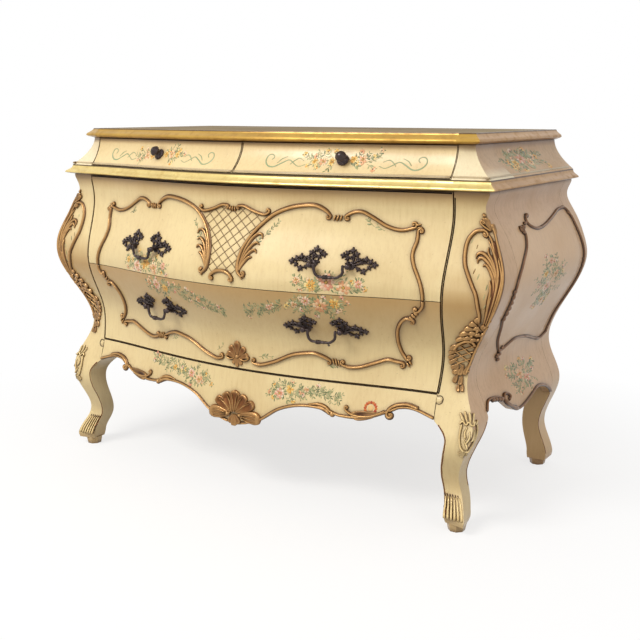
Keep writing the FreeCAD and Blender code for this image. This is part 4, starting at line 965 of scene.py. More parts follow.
# The lattice window between the two middle rails: its half width by height, its head and foot by |x|.
WINDOW_HALF = [(536, 38), (558, 37), (585, 41), (614, 55), (640, 75), (662, 92)]
WINDOW_HEAD = [(0, 676), (30, 676), (60, 668), (92, 664)]
WINDOW_FOOT = [(0, 536), (20, 532), (36, 526)]
LATTICE_MIDDLE, LATTICE_SLOPE, LATTICE_SPACING, LATTICE_BROWN = 600, 0.86, 23.0, (0.22, 0.14, 0.045)


def lattice():
    """Thin crossed lines in the middle window."""
    pile = Pile()
    for hand in (-1, 1):
        for k in range(-14, 15):
            run = []
            for i in range(121):
                x = -96 + 1.6 * i
                z = LATTICE_MIDDLE + hand * LATTICE_SLOPE * x + k * LATTICE_SPACING
                level_inside = smooth(WINDOW_FOOT, abs(x)) < z < smooth(WINDOW_HEAD, abs(x))
                if level_inside and abs(x) < smooth(WINDOW_HALF, z):
                    run.append((x, z))
            if len(run) > 4:
                line = [run[0], run[len(run) // 2], run[-1]]
                sweep(pile, FRONT, line, 1.7, 0.7, STROKE, 8, -0.5, LATTICE_BROWN)
    pile.piece("lattice_lines", "upper_drawer", "carving_gilt", PAINTED)


# ---------------------------------------------------------------- gilt carving on the case


# The lower edge of the front apron, right half, by (x, z).
APRON_EDGE = [(487, 243), (440, 256), (408, 255), (384, 244), (336, 226), (277, 222), (243, 230), (205, 234),
              (162, 230), (118, 215), (74, 186), (34, 171), (0, 164)]


def apron_carving():
    """Bead along the apron's lower edge, its scrolls and leaves, and the shell in the middle."""
    pile = Pile()
    bead = [(x, z + 3.2) for x, z in APRON_EDGE]
    sweep(pile, FRONT, bead[:-1] + [(20, 171)], 8, 5, RAIL, 3)
    rail(pile, FRONT, [(450, 261), (426, 266), (404, 263), (389, 255), (382, 245)], end=(1, 8.5), width=10,
         high=7)
    rail(pile, FRONT, [(376, 246), (362, 238), (342, 231), (318, 229), (296, 233), (286, 240)], end=(-1, 4.5),
         width=8, high=6.5)
    fine = {"rows": 14, "cols": 10}
    lobe(pile, FRONT, (368, 240), (296, 229), 17, 6.4, 0.5, **fine)
    lobe(pile, FRONT, (352, 230), (306, 223), 12, 6, 0.4, **fine)
    fronds(pile, FRONT, 11, 6, [(196, 240), (216, 243), (236, 240), (252, 230)],
           [(206, 237), (226, 237), (242, 231), (252, 223)])
    dome(pile, FRONT, (256, 226), 7, 6.4)
    lobes(pile, FRONT, 9, 0.7, ((6, 195), (30, 239), 28), ((11.2, 195), (56, 223), 26), depth=HONEY, **fine)
    for a, b in ((22, 232), (46, 222), (8, 238)):
        sweep(pile, FRONT, [(a * 0.25, 198), (a * 0.6, 198 + (b - 198) * 0.6), (a, b)],
              [(0, 2), (0.5, 4), (1, 1.5)], 6, ROUND, 3, depth=HONEY)
    lobe(pile, FRONT, (12, 190), (76, 187), 34, 9, 0.25, depth=HONEY, **fine)
    for turn in (-8, 0, 8):
        sweep(pile, FRONT, [(24, 189 + turn * 0.4), (44, 187 + turn), (62, 187 + turn * 0.8)],
              [(0, 1.5), (0.5, 3.2), (1, 1.5)], 9.4, ROUND, 3, depth=HONEY)
    lobe(pile, FRONT, (3, 190), (15, 168), 14, 8, 0.4, depth=HONEY)
    dome(pile, FRONT, (18, 190), 5.5, 9)
    pile.both_sides()
    lobe(pile, FRONT, (0, 196), (0, 247), 32, 9.5, 0.7, depth=HONEY, **fine)
    lobe(pile, FRONT, (0, 190), (0, 162), 20, 9, 0.3, depth=HONEY)
    pile.piece("apron_carving_and_shell", "case", "carving_gilt", CARVED_GILT, ["apron_shell"])


def corner_leaves():
    """The tall scroll and leaf on the corner, and the net below it with its fan of small leaves."""
    pile = Pile()
    # A dark brown strip under the leaves: painted shade between them.
    sweep(pile, CORNER, [(-7, 452), (-13, 490), (-17, 530), (-16, 565), (-13, 600), (-8, 630)],
          [(0, 9), (0.35, 24), (0.65, 24), (1, 9)], [(0, 2), (0.5, 3), (1, 2)], ROUND, 4,
          tint=(0.22, 0.12, 0.05))
    rail(pile, CORNER, [(-24, 651), (-40, 648), (-58, 634), (-72, 612), (-80, 584), (-75, 561), (-64, 540),
                        (-53, 524), (-40, 499), (-30, 482), (-24, 466)], start=(-1, 8), width=10, high=6.4)
    sweep(pile, CORNER, [(-1, 655), (-2, 640), (-3, 610), (-3, 570), (-3, 530), (-3, 490), (-4, 456)],
          [(0, 6), (0.3, 8), (0.8, 8), (1, 7)], 5, RAIL, 3, depth=(0.16, 0.09, 0.04))
    for line, width in (([(-10, 452), (-15, 480), (-21, 512), (-25, 538), (-29, 554)], 10),
                        ([(-7, 456), (-11, 500), (-13, 540), (-12, 580), (-15, 615), (-19, 634)], 10),
                        ([(-13, 540), (-18, 572), (-27, 596), (-38, 606), (-49, 603), (-54, 595)], 11),
                        ([(-14, 536), (-21, 568), (-31, 589), (-41, 597), (-50, 593), (-53, 586)], 11),
                        ([(-17, 530), (-24, 560), (-31, 578), (-37, 584), (-43, 580)], 10),
                        ([(-5, 470), (-6, 520), (-5, 560), (-7, 588), (-5, 602)], 9),
                        ([(-9, 585), (-13, 608), (-12, 632), (-16, 644)], 8),
                        ([(-14, 556), (-20, 590), (-25, 606), (-22, 618)], 8),
                        ([(-13, 470), (-18, 500), (-20, 524)], 7)):
        frond(pile, CORNER, line, width, 6)
    lobe(pile, CORNER, (-7, 650), (-6, 678), 16, 6.4, 0.35)
    lobe(pile, CORNER, (-2, 642), (3, 664), 11, 6, 0.3)
    rail(pile, CORNER, [(-8, 650), (-15, 656), (-19, 663)], end=(-1, 5), width=7, high=6)
    dome(pile, CORNER, (-5, 681), 4.4, 5.5)
    lobes(pile, CORNER, 7.5, 0.15, ((-20, 462), (-34, 476), 12), ((-22, 456), (-42, 464), 12),
          ((-24, 448), (-48, 450), 12), ((-25, 440), (-52, 435), 12), ((-27, 430), (-54, 420), 11),
          ((-10, 448), (-29, 454), 10), ((-12, 438), (-35, 441), 11), ((-15, 428), (-40, 427), 11),
          ((-3, 446), (-15, 462), 9), ((-3, 434), (-20, 440), 9), ((-5, 424), (-25, 425), 9))
    for spot in ((-7, 456), (-5, 440), (-8, 426), (-18, 446), (-25, 434)):
        dome(pile, CORNER, spot, 4.6, 7.5)
    net = [(-47, 396), (-43, 410), (-32, 419), (-18, 419), (-7, 410)]
    rail(pile, CORNER, net, width=8, high=6.4, section=ROUND)
    sweep(pile, CORNER, [(-3, 456), (-3, 430), (-3, 400), (-3, 372), (-5, 345)], 8, 5.4, RAIL)
    for first, last in (((-45, 402), (-20, 418)), ((-49, 386), (-5, 412)), ((-47, 370), (-5, 396)),
                        ((-37, 360), (-5, 379)), ((-42, 410), (-5, 386)), ((-47, 396), (-5, 370)),
                        ((-49, 380), (-15, 360)), ((-29, 418), (-5, 403))):
        middle = ((first[0] + last[0]) / 2, (first[1] + last[1]) / 2)
        sweep(pile, CORNER, [first, middle, last], 3.2, 3.6, ROUND, 4)
    for k in range(6):
        share = k / 5
        spot = (-51 + 25 * share ** 1.8, 404 - 56 * share)
        lobe(pile, CORNER, (spot[0] + 9, spot[1] + 5), (spot[0] - 5, spot[1] - 6), 12, 6.6, 0.25)
    lobes(pile, CORNER, 6.4, 0.3, ((-25, 362), (-30, 340), 14), ((-15, 364), (-18, 338), 13),
          ((-6, 362), (-8, 340), 12), ((-22, 342), (-27, 322), 12), ((-12, 340), (-15, 318), 12),
          ((-17, 322), (-21, 305), 10), ((-8, 322), (-12, 306), 9))
    for k in range(9):
        dome(pile, CORNER, (-1, 470 - 15 * k), 3.2, 4.5)
    return pile


def knee_carving():
    """Three leaves over a ruff, and a long shield with small scrolls in it, on the knee."""
    pile = Pile()
    for tip in ((-24, 266), (-13, 270), (-2, 269), (10, 266)):
        frond(pile, CORNER, [(tip[0] * 0.55 - 3, 246), (tip[0] * 0.8 - 2, 256), tip], 9, 4)
    sweep(pile, CORNER, [(-28 + 7 * k, 246 + (4 if k % 2 else -2)) for k in range(8)], 5, 4.4, ROUND, 2)
    for line in ([(-24, 243), (-27, 228), (-24, 211), (-15, 196), (-5, 189)],
                 [(19, 243), (21, 228), (17, 211), (8, 196), (-2, 189)]):
        rail(pile, CORNER, line, width=5.5, high=4.4, section=ROUND)
    fronds(pile, CORNER, 7.5, 4.4, [(-12, 240), (-17, 228), (-12, 216)], [(2, 238), (6, 225), (0, 213)],
           [(-6, 232), (-4, 220), (-8, 206)], [(-14, 212), (-6, 204), (0, 196)],
           [(10, 234), (12, 222), (8, 212)])
    for tip in ((-15, 180), (-6, 176), (4, 180)):
        lobe(pile, CORNER, (tip[0] * 0.5, 193), tip, 10, 5, 0.3)
    return pile


# The rails round the painted field on the side: each line, and how its start and end roll up.
SIDE_RAILS = [
    ([(362, 642), (359, 630), (378, 604), (420, 576), (456, 545), (463, 502), (454, 463), (426, 436),
      (391, 399), (344, 362)], (-1, 7), (1, 7)),
    ([(300, 664), (316, 660), (320, 650), (306, 641), (278, 635), (244, 636), (202, 642), (150, 652),
      (105, 661), (66, 663)], (0, 0), (0, 0)),
    ([(68, 664), (55, 658), (46, 642), (40, 616), (33, 588), (28, 545), (27, 500), (31, 450), (36, 410),
      (33, 376), (37, 349)], (0, 0), (0, 0)),
    ([(332, 364), (300, 372), (263, 378), (183, 367), (120, 350), (76, 341), (38, 349)], (1, 6), (0, 0))]
# Buttons where they meet: place, radius and height.
SIDE_BUTTONS = [((302, 664), 5, 6), ((352, 644), 5, 6.4), ((362, 634), 4.6, 6), ((334, 650), 4, 6)]


def side_cartouche():
    """The thinner rails round the painted field on the side."""
    pile = Pile()
    for line, start, end in SIDE_RAILS:
        rail(pile, SIDE, line, start, end, width=8.5, high=5)
    for spot, radius, height in SIDE_BUTTONS:
        dome(pile, SIDE, spot, radius, height, stretch=2)
    beads(pile, SIDE, (464, 524), (452, 462), 6, 6, 6.4)
    for spot in ((346, 366), (338, 356), (350, 352), (340, 343)):
        dome(pile, SIDE, spot, 5, 6.4, stretch=1.8)
    ribs(pile, SIDE, (50, 650), -40, 2, 6, 11, 5.2)
    beads(pile, SIDE, (44, 640), (38, 610), 3, 4.5, 5.2)
    beads(pile, SIDE, (28, 540), (27, 500), 4, 4.5, 5.2)
    ribs(pile, SIDE, (338, 357), 40, 2, 6, 12, 5.2)
    ribs(pile, SIDE, (34, 362), 80, 2, 6, 11, 5.2)
    return pile


# The lower edge of a side panel, by (distance before the back plane, z).
SIDE_EDGE = [(453, 251), (428, 268), (370, 260), (335, 238), (298, 218), (265, 213), (220, 222), (166, 236),
             (132, 235), (100, 226), (73, 213), (53, 200)]


def side_apron_carving():
    """Bead and scroll along the lower edge of the side panel, with a bundle of buttons near the front leg."""
    pile = Pile()
    sweep(pile, SIDE, [(d, z + 4) for d, z in SIDE_EDGE], 8.5, 5, RAIL, 3)
    rail(pile, SIDE, [(292, 224), (316, 232), (344, 244), (356, 256), (348, 266), (330, 264), (322, 256),
                      (332, 251)], width=8, high=6)
    for spot in ((410, 268), (396, 266), (382, 263), (370, 260)):
        dome(pile, SIDE, spot, 5.2, 7, stretch=1.7, turn=0.2)
    return pile


LEG_REACH = 130


def edge_beads():
    """Dark gilt lines down the edges of the legs, found on the legs themselves."""
    pile = Pile()

    def last_wood(skin, start, z, way):
        """How far wood reaches from a start, that way across a face."""
        edge = start
        while abs(edge - start) < LEG_REACH and skin.meets(edge + way, z):
            edge += way
        return edge

    leg = Skin(FRONT.form, (0, -1, 0), ("front_leg_right",))
    line = [(last_wood(leg, corner_x(z), z, -1) + 2, z) for z in range(42, 240, 6)]
    sweep(pile, leg, line, 3.4, 1, ROUND, 4, tint=(0.30, 0.17, 0.08))
    for foot, head, name, way in ((90, 236, "front_leg_right", -1), (36, 200, "rear_leg_right", 1)):
        skin = Skin(SIDE.form, (1, 0, 0), (name,))
        line = []
        for z in range(foot, head, 6):
            start = BACK - corner_y(z) - 16 if way < 0 else 22
            line.append((last_wood(skin, start, z, way) - way * 2, z))
        sweep(pile, skin, line, 3.4, 1, ROUND, 4, tint=(0.34, 0.2, 0.09))
    return pile


def toe_flutes():
    """Upright flutes on the toe's front and outer side."""
    pile = Pile()
    for k in range(6):
        top = -7 - 6.4 * k
        foot = -5 - 8.2 * k
        sweep(pile, CORNER, [(foot, 32), (foot * 0.9 + top * 0.1, 46), (top, 74)], [(0, 6.4), (1, 3)],
              [(0, 1.1), (0.8, 1.2), (1, 0.4)], ROUND, 5, depth=(0.42, 0.27, 0.12))
        dome(pile, CORNER, (top - 3, 77), 1.2, 0.6, tint=(0.10, 0.05, 0.02), stretch=2.4, turn=1.57)
    return pile


def level(first, last, z, parts):
    """Points of a level line."""
    return [(first + (last - first) * k / parts, z) for k in range(parts + 1)]


def apron_tabs():
    """The small rounded key at the upper end of the apron's joint on each side."""
    pads, lines = Pile(), Pile()
    ring = [(487, 292), (497, 293), (502, 288), (501, 280), (495, 276), (487, 277)]
    sweep(pads, FRONT, level(488, 500, 284.5, 2), [(0, 13), (0.6, 13), (1, 7)], 1.2, ROUND, 2, tint=PLAIN)
    sweep(lines, FRONT, ring, 1.5, 0.9, STROKE, 2, -0.4, PLAIN)
    both(pads, "apron_joint_key", "front_paint", TINTED_CREAM)
    both(lines, "apron_joint_key_edge", "front_paint", SHADOW)


DRAWERS_FOOT, DRAWERS_HEAD, FRIEZE_FOOT, FILLET_Z = 295.6, 723.6, 753.2, 756.5
FILLET_TINT = (0.72, 0.72, 0.80)


def gap(pile, skin, line, width, high=0.35, step=12):
    """A dark painted line: painted shadow along a gap."""
    sweep(pile, skin, line, width, high, STROKE, step, -0.4, PLAIN)


def fillet(pile, skin, line, step=12):
    """The small round moulding at the foot of the frieze."""
    sweep(pile, skin, line, 6.5, 1.8, RAIL, step, -1, FILLET_TINT)


def gap_lines():
    """Painted shadow: dark lines along the gaps round the drawers and the frieze drawers, and the fillet at
    the foot of the frieze.
    """
    fixed, upper = Pile(), Pile()
    for side, wide in ((-1, 1.4), (1, 3.0)):
        beside = [(side * (edge_x(z) + 1.9 + wide / 2), z) for z in range(297, 726, 11)]
        gap(fixed, FRONT, beside, wide, step=11)
        gap(fixed, FRONT, [(side * (edge_x(z) + 0.9), z) for z in range(248, 292, 8)], 1.6, 0.3, 8)
    gap(fixed, FRONT, level(-487, 487, DRAWERS_FOOT, 40), 2.6)
    # Painted shadow under the waist moulding, along the top of the upper drawer.
    gap(upper, FRONT, level(-508, 508, DRAWERS_HEAD, 40), 3.4)
    fixed.piece("drawer_gap_shadow_lines", "case", "front_paint", SHADOW)
    upper.piece("upper_drawer_top_gap_shadow", "upper_drawer", "front_paint", SHADOW)
    for hand, side in (("right", 1), ("left", -1)):
        edging, lines = Pile(), Pile()
        fillet(edging, FRIEZE_FRONT, level(side * 3, side * 502, FILLET_Z, 20))
        gap(lines, FRIEZE_FRONT, level(side * 2.2, side * 503.2, FRIEZE_FOOT, 20), 1.6, 0.5)
        for x in (2.2, 503.6):
            gap(lines, FRIEZE_FRONT, [(side * x, 754 + 8 * k) for k in range(9)], 1.6, 0.3, 8)
        body = "frieze_drawer_" + hand
        edging.piece(body + "_fillet", body, "front_paint", TINTED_CREAM)
        lines.piece(body + "_gap_shadow_lines", body, "front_paint", SHADOW)
    edging = Pile()
    fillet(edging, FRIEZE_SIDE, level(20, 510, FILLET_Z, 20))
    fillet(edging, FRIEZE_FRONT, level(508, 584, FILLET_Z, 5), 8)
    both(edging, "frieze_foot_fillet", "front_paint", TINTED_CREAM)


def both(pile, name, slot, material, stands_for=None):
    """The same carving on the right and, mirrored, on the left of the case."""
    for hand, made in (("right", pile), ("left", pile.mirrored())):
        nodes = [f"{stands_for}_{hand}"] if stands_for else []
        made.piece(f"{name}_{hand}", "case", slot, material, nodes)


# ---------------------------------------------------------------- dark hardware

# The middle of each right-hand pull, x and z.
PULLS = {"upper_drawer": (266, 566), "lower_drawer": (238, 417)}
# Half the spacing of its posts, how far they stand out, their radius; then the bail's own sizes.
POST_HALF, POST_REACH, POST_RADIUS = 42, 17, 6.5
BAIL_DROP, BAIL_RADIUS, BAIL_BEND = 25, 3.2, 17
KNOB_X, KNOB_Z = 259, 785


def ivy_leaf(pile, skin, at, angle, size, high=5.0):
    """A small cast leaf of five points with a raised vein, pointing the way of the angle."""
    count = 30
    tints, points = [], []
    heading = math.radians(angle)
    for ring, (share, rise) in enumerate(((1.0, 0.0), (0.96, 0.45), (0.8, 0.75), (0.45, 0.86), (0.16, 1.0))):
        for bearing in ring_of(count):
            point = 0.45 + 0.55 * abs(math.cos(2.5 * bearing)) ** 1.3
            spot = around(at, size * point * (1 + 0.25 * math.cos(bearing)) * share, bearing + heading)
            vein = 0.16 * abs(math.cos(2.5 * bearing)) ** 8 * (ring in (2, 3))
            points.append(skin.lifted(spot[0], spot[1], -0.6 + (high + 0.6) * (rise * 0.86 + vein)))
            # Painted shade at the leaf's foot, none on its top and vein.
            tints.append(shaded(0.25 + 0.75 * rise + vein, (0.35, 0.32, 0.36)))
    pile.add(points, woven(5, count) + end_caps(5, count)[::-1], tints)


# Leaves of one backplate: distance outwards and upwards from its post, the way it points, size.
PLATE_LEAVES = [
    (48, 4, 5, 8.5), (39, 10, 65, 7.5), (38, -2, -55, 6.5), (29, 15, 85, 8), (27, -11, -60, 8.5),
    (19, 8, 40, 6.5), (16, -7, -110, 6), (-2, 35, 95, 8.5), (7, 27, 25, 7.5), (-12, 30, 140, 7),
    (-20, 24, 170, 7.5), (-10, 18, 205, 6.5), (11, 16, 15, 6.5), (-8, 6, 190, 6), (0, 21, 90, 5.5)]
PLATE_STEMS = [[(0, 0), (12, 4), (26, 8), (42, 6)], [(0, 0), (3, 12), (3, 22), (0, 34)],
               [(3, 2), (12, -4), (22, -10)], [(2, 14), (-6, 20), (-17, 24)], [(4, 6), (12, 12), (24, 18)]]


def backplates(drawer):
    """Two leafy cast plates behind each pull."""
    pile = Pile()
    middle, height = PULLS[drawer]
    squat = {"upper_drawer": 0.84, "lower_drawer": 0.72}[drawer]
    for x in (-middle, middle):
        for sign in (-1, 1):
            post = x + sign * POST_HALF
            for a, b, angle, size in PLATE_LEAVES:
                heading = angle if sign > 0 else 180 - angle
                spot = (post + sign * a, height + b * squat)
                ivy_leaf(pile, FRONT, spot, heading, size * (0.5 + 0.5 * squat))
            for stem in PLATE_STEMS:
                sweep(pile, FRONT, [(post + sign * a, height + b * squat) for a, b in stem], [(0, 5), (1, 3)],
                      4.4, ROUND, 2.5, depth=(0.4, 0.36, 0.4))
            dome(pile, FRONT, (post, height), 9.5, 4.4)
    pile.piece(drawer + "_leafy_plates", drawer, "bronze", BRONZE, [drawer + "_backplates"])


def pull_frame(x, z):
    """Hinge axis of a pull: its middle, its direction and half the spacing of its posts."""
    right = FRONT.form(x + POST_HALF, z) + Vector((0, -POST_REACH, 0))
    left = FRONT.form(x - POST_HALF, z) + Vector((0, -POST_REACH, 0))
    return (left + right) / 2, (right - left).normalized(), (right - left).length / 2


def bail(drawer, hand):
    """A cast bail: plain arms, a bottom bar twisted like rope and a coiled knop left of its middle."""
    side = 1 if hand == "right" else -1
    x, z = PULLS[drawer]
    middle, axis, half = pull_frame(side * x, z)
    down = Vector((0, 0, -1))
    out = axis.cross(Vector((0, 0, 1)))
    arm = half - POST_RADIUS - BAIL_RADIUS - 0.8
    flat = arm - BAIL_BEND

    def at(a, b):
        return middle + axis * a + down * b

    def bend(sign, steps):
        turns = [math.pi / 2 * i / 8 for i in steps]
        return [at(sign * (flat + BAIL_BEND * math.cos(turn)), BAIL_DROP - BAIL_BEND * (1 - math.sin(turn)))
                for turn in turns]

    steps = 26
    path = [at(-arm, b) for b in (0, 4, 8)] + bend(-1, range(1, 9))
    path.extend(at(-flat + 2 * flat * i / steps, BAIL_DROP) for i in range(1, steps + 1))
    path.extend(bend(1, range(7, -1, -1)) + [at(arm, b) for b in (8, 4, 0)])
    pile = Pile()
    tube(pile, path, [(0, 3.2), (0.25, 2.9), (0.4, 3.3), (0.6, 3.3), (0.75, 2.9), (1, 3.2)], 12, 3, 0.28)
    pin = half + POST_RADIUS + 1 - arm
    for sign in (-1, 1):
        turned(pile, at(sign * arm, 0), axis * sign, [(2.0, -2), (2.2, 0), (2.2, pin - 0.6), (1.6, pin)], 16)
        turned(pile, at(sign * arm, 0), axis * sign,
               [(0.6, -3.4), (2.4, -2.6), (3.4, -1), (3.5, 0), (3.3, 1.2), (2.2, 2.6)], 18)
    for k in range(4):
        knot = at(-arm * 0.22 - 4.2 + 2.8 * k, BAIL_DROP)
        turned(pile, knot, axis, [(2.6, -1.5), (4.4, -1.2), (5.2, 0), (4.4, 1.2), (2.6, 1.5)], 20)
    for k in range(3):
        spot = at(-arm * 0.22 - 2.8 + 2.8 * k, BAIL_DROP) + out * 4.2
        turned(pile, spot, out, [(1.6, -1.2), (1.5, 0), (0.9, 0.9), (0.2, 1.2)], 10)
    name = f"{drawer}_{hand}_bail"
    pile.piece(f"{drawer}_{hand}_twisted_bail", name, "bronze", BRONZE, [name])


# The knob's outline, and its rings of small petals: how many, radius, height, outline of one and its sides.
KNOB_OUTLINE = [(2.0, -26), (2.2, -25), (2.2, -0.2), (13.2, 1.2), (13.6, 2.2), (12.6, 3.4), (9.4, 3.8),
                (8.6, 5.0), (6.2, 5.8), (5.0, 8), (4.8, 10.5), (6.2, 12.6), (10.4, 14.6), (11.9, 16.6),
                (12.0, 18.6), (11.0, 20.2), (9.4, 20.8), (9.7, 21.6), (8.8, 22.8), (7.0, 23.3), (7.3, 24.1),
                (6.4, 25.1), (4.4, 25.5), (4.6, 26.2), (2.6, 26.8), (0.3, 27)]
KNOB_RINGS = [(10, 11.2, 2.4, [(2.6, -1.6), (2.5, 0.4), (1.6, 1.5), (0.3, 1.9)], 10),
              (14, 11.0, 17.4, [(1.5, -2.0), (1.6, 0), (1.2, 1.6), (0.3, 2.2)], 8)]


def knob(hand):
    """A turned knob with stepped rings on a small petalled rose."""
    x, z = KNOB_X * (1 if hand == "right" else -1), KNOB_Z
    face = FRIEZE_FRONT.form(x, z)
    out = FRIEZE_FRONT.normal(x, z)
    pile = Pile()
    turned(pile, face, out, KNOB_OUTLINE, 36)
    first = out.orthogonal().normalized()
    second = out.cross(first)
    for count, radius, height, outline, sides in KNOB_RINGS:
        for angle in ring_of(count):
            spot = face + (first * math.cos(angle) + second * math.sin(angle)) * radius + out * height
            turned(pile, spot, out, outline, sides)
    body = "frieze_drawer_" + hand
    pile.piece(body + "_turned_knob", body, "bronze", BRONZE, [body + "_knob"])


# ---------------------------------------------------------------- painted flowers

PINK = [(0.91, 0.62, 0.46), (0.82, 0.36, 0.24), (0.94, 0.76, 0.60)]
PEACH = [(0.91, 0.64, 0.38), (0.82, 0.40, 0.20), (0.94, 0.76, 0.52)]
YELLOW = [(0.90, 0.62, 0.18), (0.84, 0.42, 0.07), (0.93, 0.76, 0.36)]
SAGE = [(0.38, 0.41, 0.20), (0.48, 0.47, 0.25), (0.26, 0.30, 0.13), (0.15, 0.19, 0.08)]
HEART = [(0.08, 0.03, 0.01), (0.25, 0.10, 0.02)]
SCROLL = (0.30, 0.42, 0.24)
# Green strokes on the corners: place and lean.
CORNER_STROKES = [(-54, 628, 0.9), (-46, 618, 1.0), (-62, 570, 1.1), (-54, 560, 1.2), (-34, 520, 1.6),
                  (-26, 500, 1.5), (-30, 490, 1.8), (-34, 540, 1.5)]
# The painted scrolls beside a knob: the line outwards from it, and the thickness.
FRIEZE_SCROLLS = [([(84, 774), (98, 770), (112, 776), (126, 783), (142, 776), (158, 768), (174, 770),
                    (184, 780), (182, 791), (172, 794), (165, 788), (170, 783)], 3.4),
                  ([(90, 782), (102, 787), (112, 782), (120, 774)], 2.2),
                  ([(132, 790), (144, 785), (153, 776)], 2.2)]
ROUNDEL, ROUNDEL_REDS = (343, 249), [(0.62, 0.10, 0.02), (0.74, 0.20, 0.03), (0.46, 0.05, 0.01)]


def petal(pile, skin, at, angle, length, width, tint, high=0.5):
    dome(pile, skin, at, width / 2, high, -0.12, tint, length / width, angle, 2, 8)


def bloom(pile, skin, at, size, tones, dice, fits=None):
    """An open flower: two rings of petals round a dark heart."""
    count = dice.choice((9, 10, 11))
    for ring, (reach, length, high) in enumerate(((0.68, 0.64, 0.5), (0.40, 0.46, 0.8))):
        for k in range(count - 2 * ring):
            angle = 2 * math.pi * (k + 0.5 * ring + dice.uniform(-0.2, 0.2)) / (count - 2 * ring)
            tone = tones[(k + ring) % 2] if ring else dice.choice(tones)
            fade = dice.uniform(0.9, 1.08)
            spot = around(at, size * reach, angle)
            if fits and not fits(*spot):
                continue
            petal(pile, skin, spot, angle, size * length, size * 0.46, tuple(min(t * fade, 1) for t in tone),
                  high + 0.02 * (k % 3))
    if fits and not fits(*at):
        return
    petal(pile, skin, at, 0, size * 0.44, size * 0.44, (0.84, 0.55, 0.12), 1.0)
    for k, angle in enumerate(ring_of(5)):
        petal(pile, skin, around(at, size * 0.13, angle), angle, size * 0.15, size * 0.12, HEART[k % 2], 1.15)


def twig(pile, skin, start, angle, length, dice, fits, bend=0.5, buds=()):
    """A thin curved stem with small leaves on both sides."""
    heading = angle
    spot = Vector(start)
    line = [tuple(spot)]
    steps = max(int(length / 8), 3)
    turn = dice.uniform(-bend, bend) / steps
    for i in range(steps):
        heading += turn
        spot = spot + Vector((math.cos(heading), math.sin(heading))) * length / steps
        line.append(tuple(spot))
    line = [p for p in line if fits(*p)]
    if len(line) < 2:
        return
    sweep(pile, skin, line, 0.9, 0.3, STROKE, 4, -0.2, dice.choice(SAGE))
    for i, place in enumerate(line[1:]):
        for side in (-1, 1):
            if dice.random() < 0.2:
                continue
            lean = heading + side * dice.uniform(0.5, 1.0)
            size = dice.uniform(7, 11.5) * (1 - 0.35 * i / len(line))
            spot = around(place, size * 0.55, lean)
            if fits(*spot):
                petal(pile, skin, spot, lean, size, size * 0.38, dice.choice(SAGE), 0.35)
    if buds and fits(*line[-1]):
        tone = dice.choice(buds)
        for k in range(5):
            lean = heading + (k - 2) * 0.8
            petal(pile, skin, around(line[-1], 3.4, lean), lean, 7, 4, dice.choice(tone), 0.5)
        petal(pile, skin, line[-1], 0, 3, 3, HEART[0], 0.9)


def spray(pile, skin, blooms, reach, seed, fits, aim=None, twigs=18, length=(18, 30)):
    """A bunch: open flowers among leafy twigs that spread over an oval of the given half sizes. Without
    an aim it spreads from the middle of its flowers."""
    dice = random.Random(seed)
    middle = Vector(aim) if aim else sum((Vector(at) for at, *_ in blooms), Vector((0, 0))) / len(blooms)
    for k in range(twigs):
        angle = 2 * math.pi * (k + dice.uniform(-0.35, 0.35)) / twigs
        tip = Vector((math.cos(angle) * reach[0], math.sin(angle) * reach[1]))
        root = middle + tip * dice.uniform(0.1, 0.5)
        run = dice.uniform(*length) * (0.55 + 0.45 * abs(math.cos(angle)))
        heading = math.atan2(tip.y * 0.9 + 0.01, tip.x)
        twig(pile, skin, root, heading, run, dice, fits, 0.9, (PINK, PEACH, YELLOW) if k % 3 == 0 else ())
    for at, size, tones in blooms:
        for k in range(9):
            angle = dice.uniform(0, 2 * math.pi)
            spot = around(at, size * 1.15, angle)
            if fits(*spot):
                petal(pile, skin, spot, angle, dice.uniform(8, 12), 4, dice.choice(SAGE), 0.35)
    for at, size, tones in blooms:
        bloom(pile, skin, at, size, tones, dice, fits)


def garland(pile, skin, line, blooms, seed, fits):
    """A long thin spray: a leafy line with small flowers on it."""
    dice = random.Random(seed)
    path = refine(line, 9)
    for i, spot in enumerate(path):
        ahead = path[min(i + 1, len(path) - 1)] - path[max(i - 1, 0)]
        heading = math.atan2(ahead.y, ahead.x)
        for side in (-1, 1):
            twig(pile, skin, tuple(spot), heading + side * dice.uniform(0.3, 0.9), dice.uniform(10, 20), dice,
                 fits, 0.8, (PINK, PEACH) if dice.random() < 0.22 else ())
    for at, size, tones in blooms:
        bloom(pile, skin, at, size, tones, dice)


# The sprays on the sides are painted wider than high.
SIDE_SPRAY = Skin(lambda d, z: Vector((corner_x(z), BACK - 236 - (d - 236) * 1.8, z)), (1, 0, 0), SIDE_PIECES)
FRIEZE_SPRAY = Skin(lambda d, z: Vector((frieze_x(z), BACK - 256 - (d - 256) * 2.2, z)), (1, 0, 0),
                    FRIEZE_SIDE_PIECES)


def inside(a_from, a_to, b_from, b_to):
    """A test for the spots inside a rectangle of a face."""
    return lambda a, b: a_from < a < a_to and b_from < b < b_to


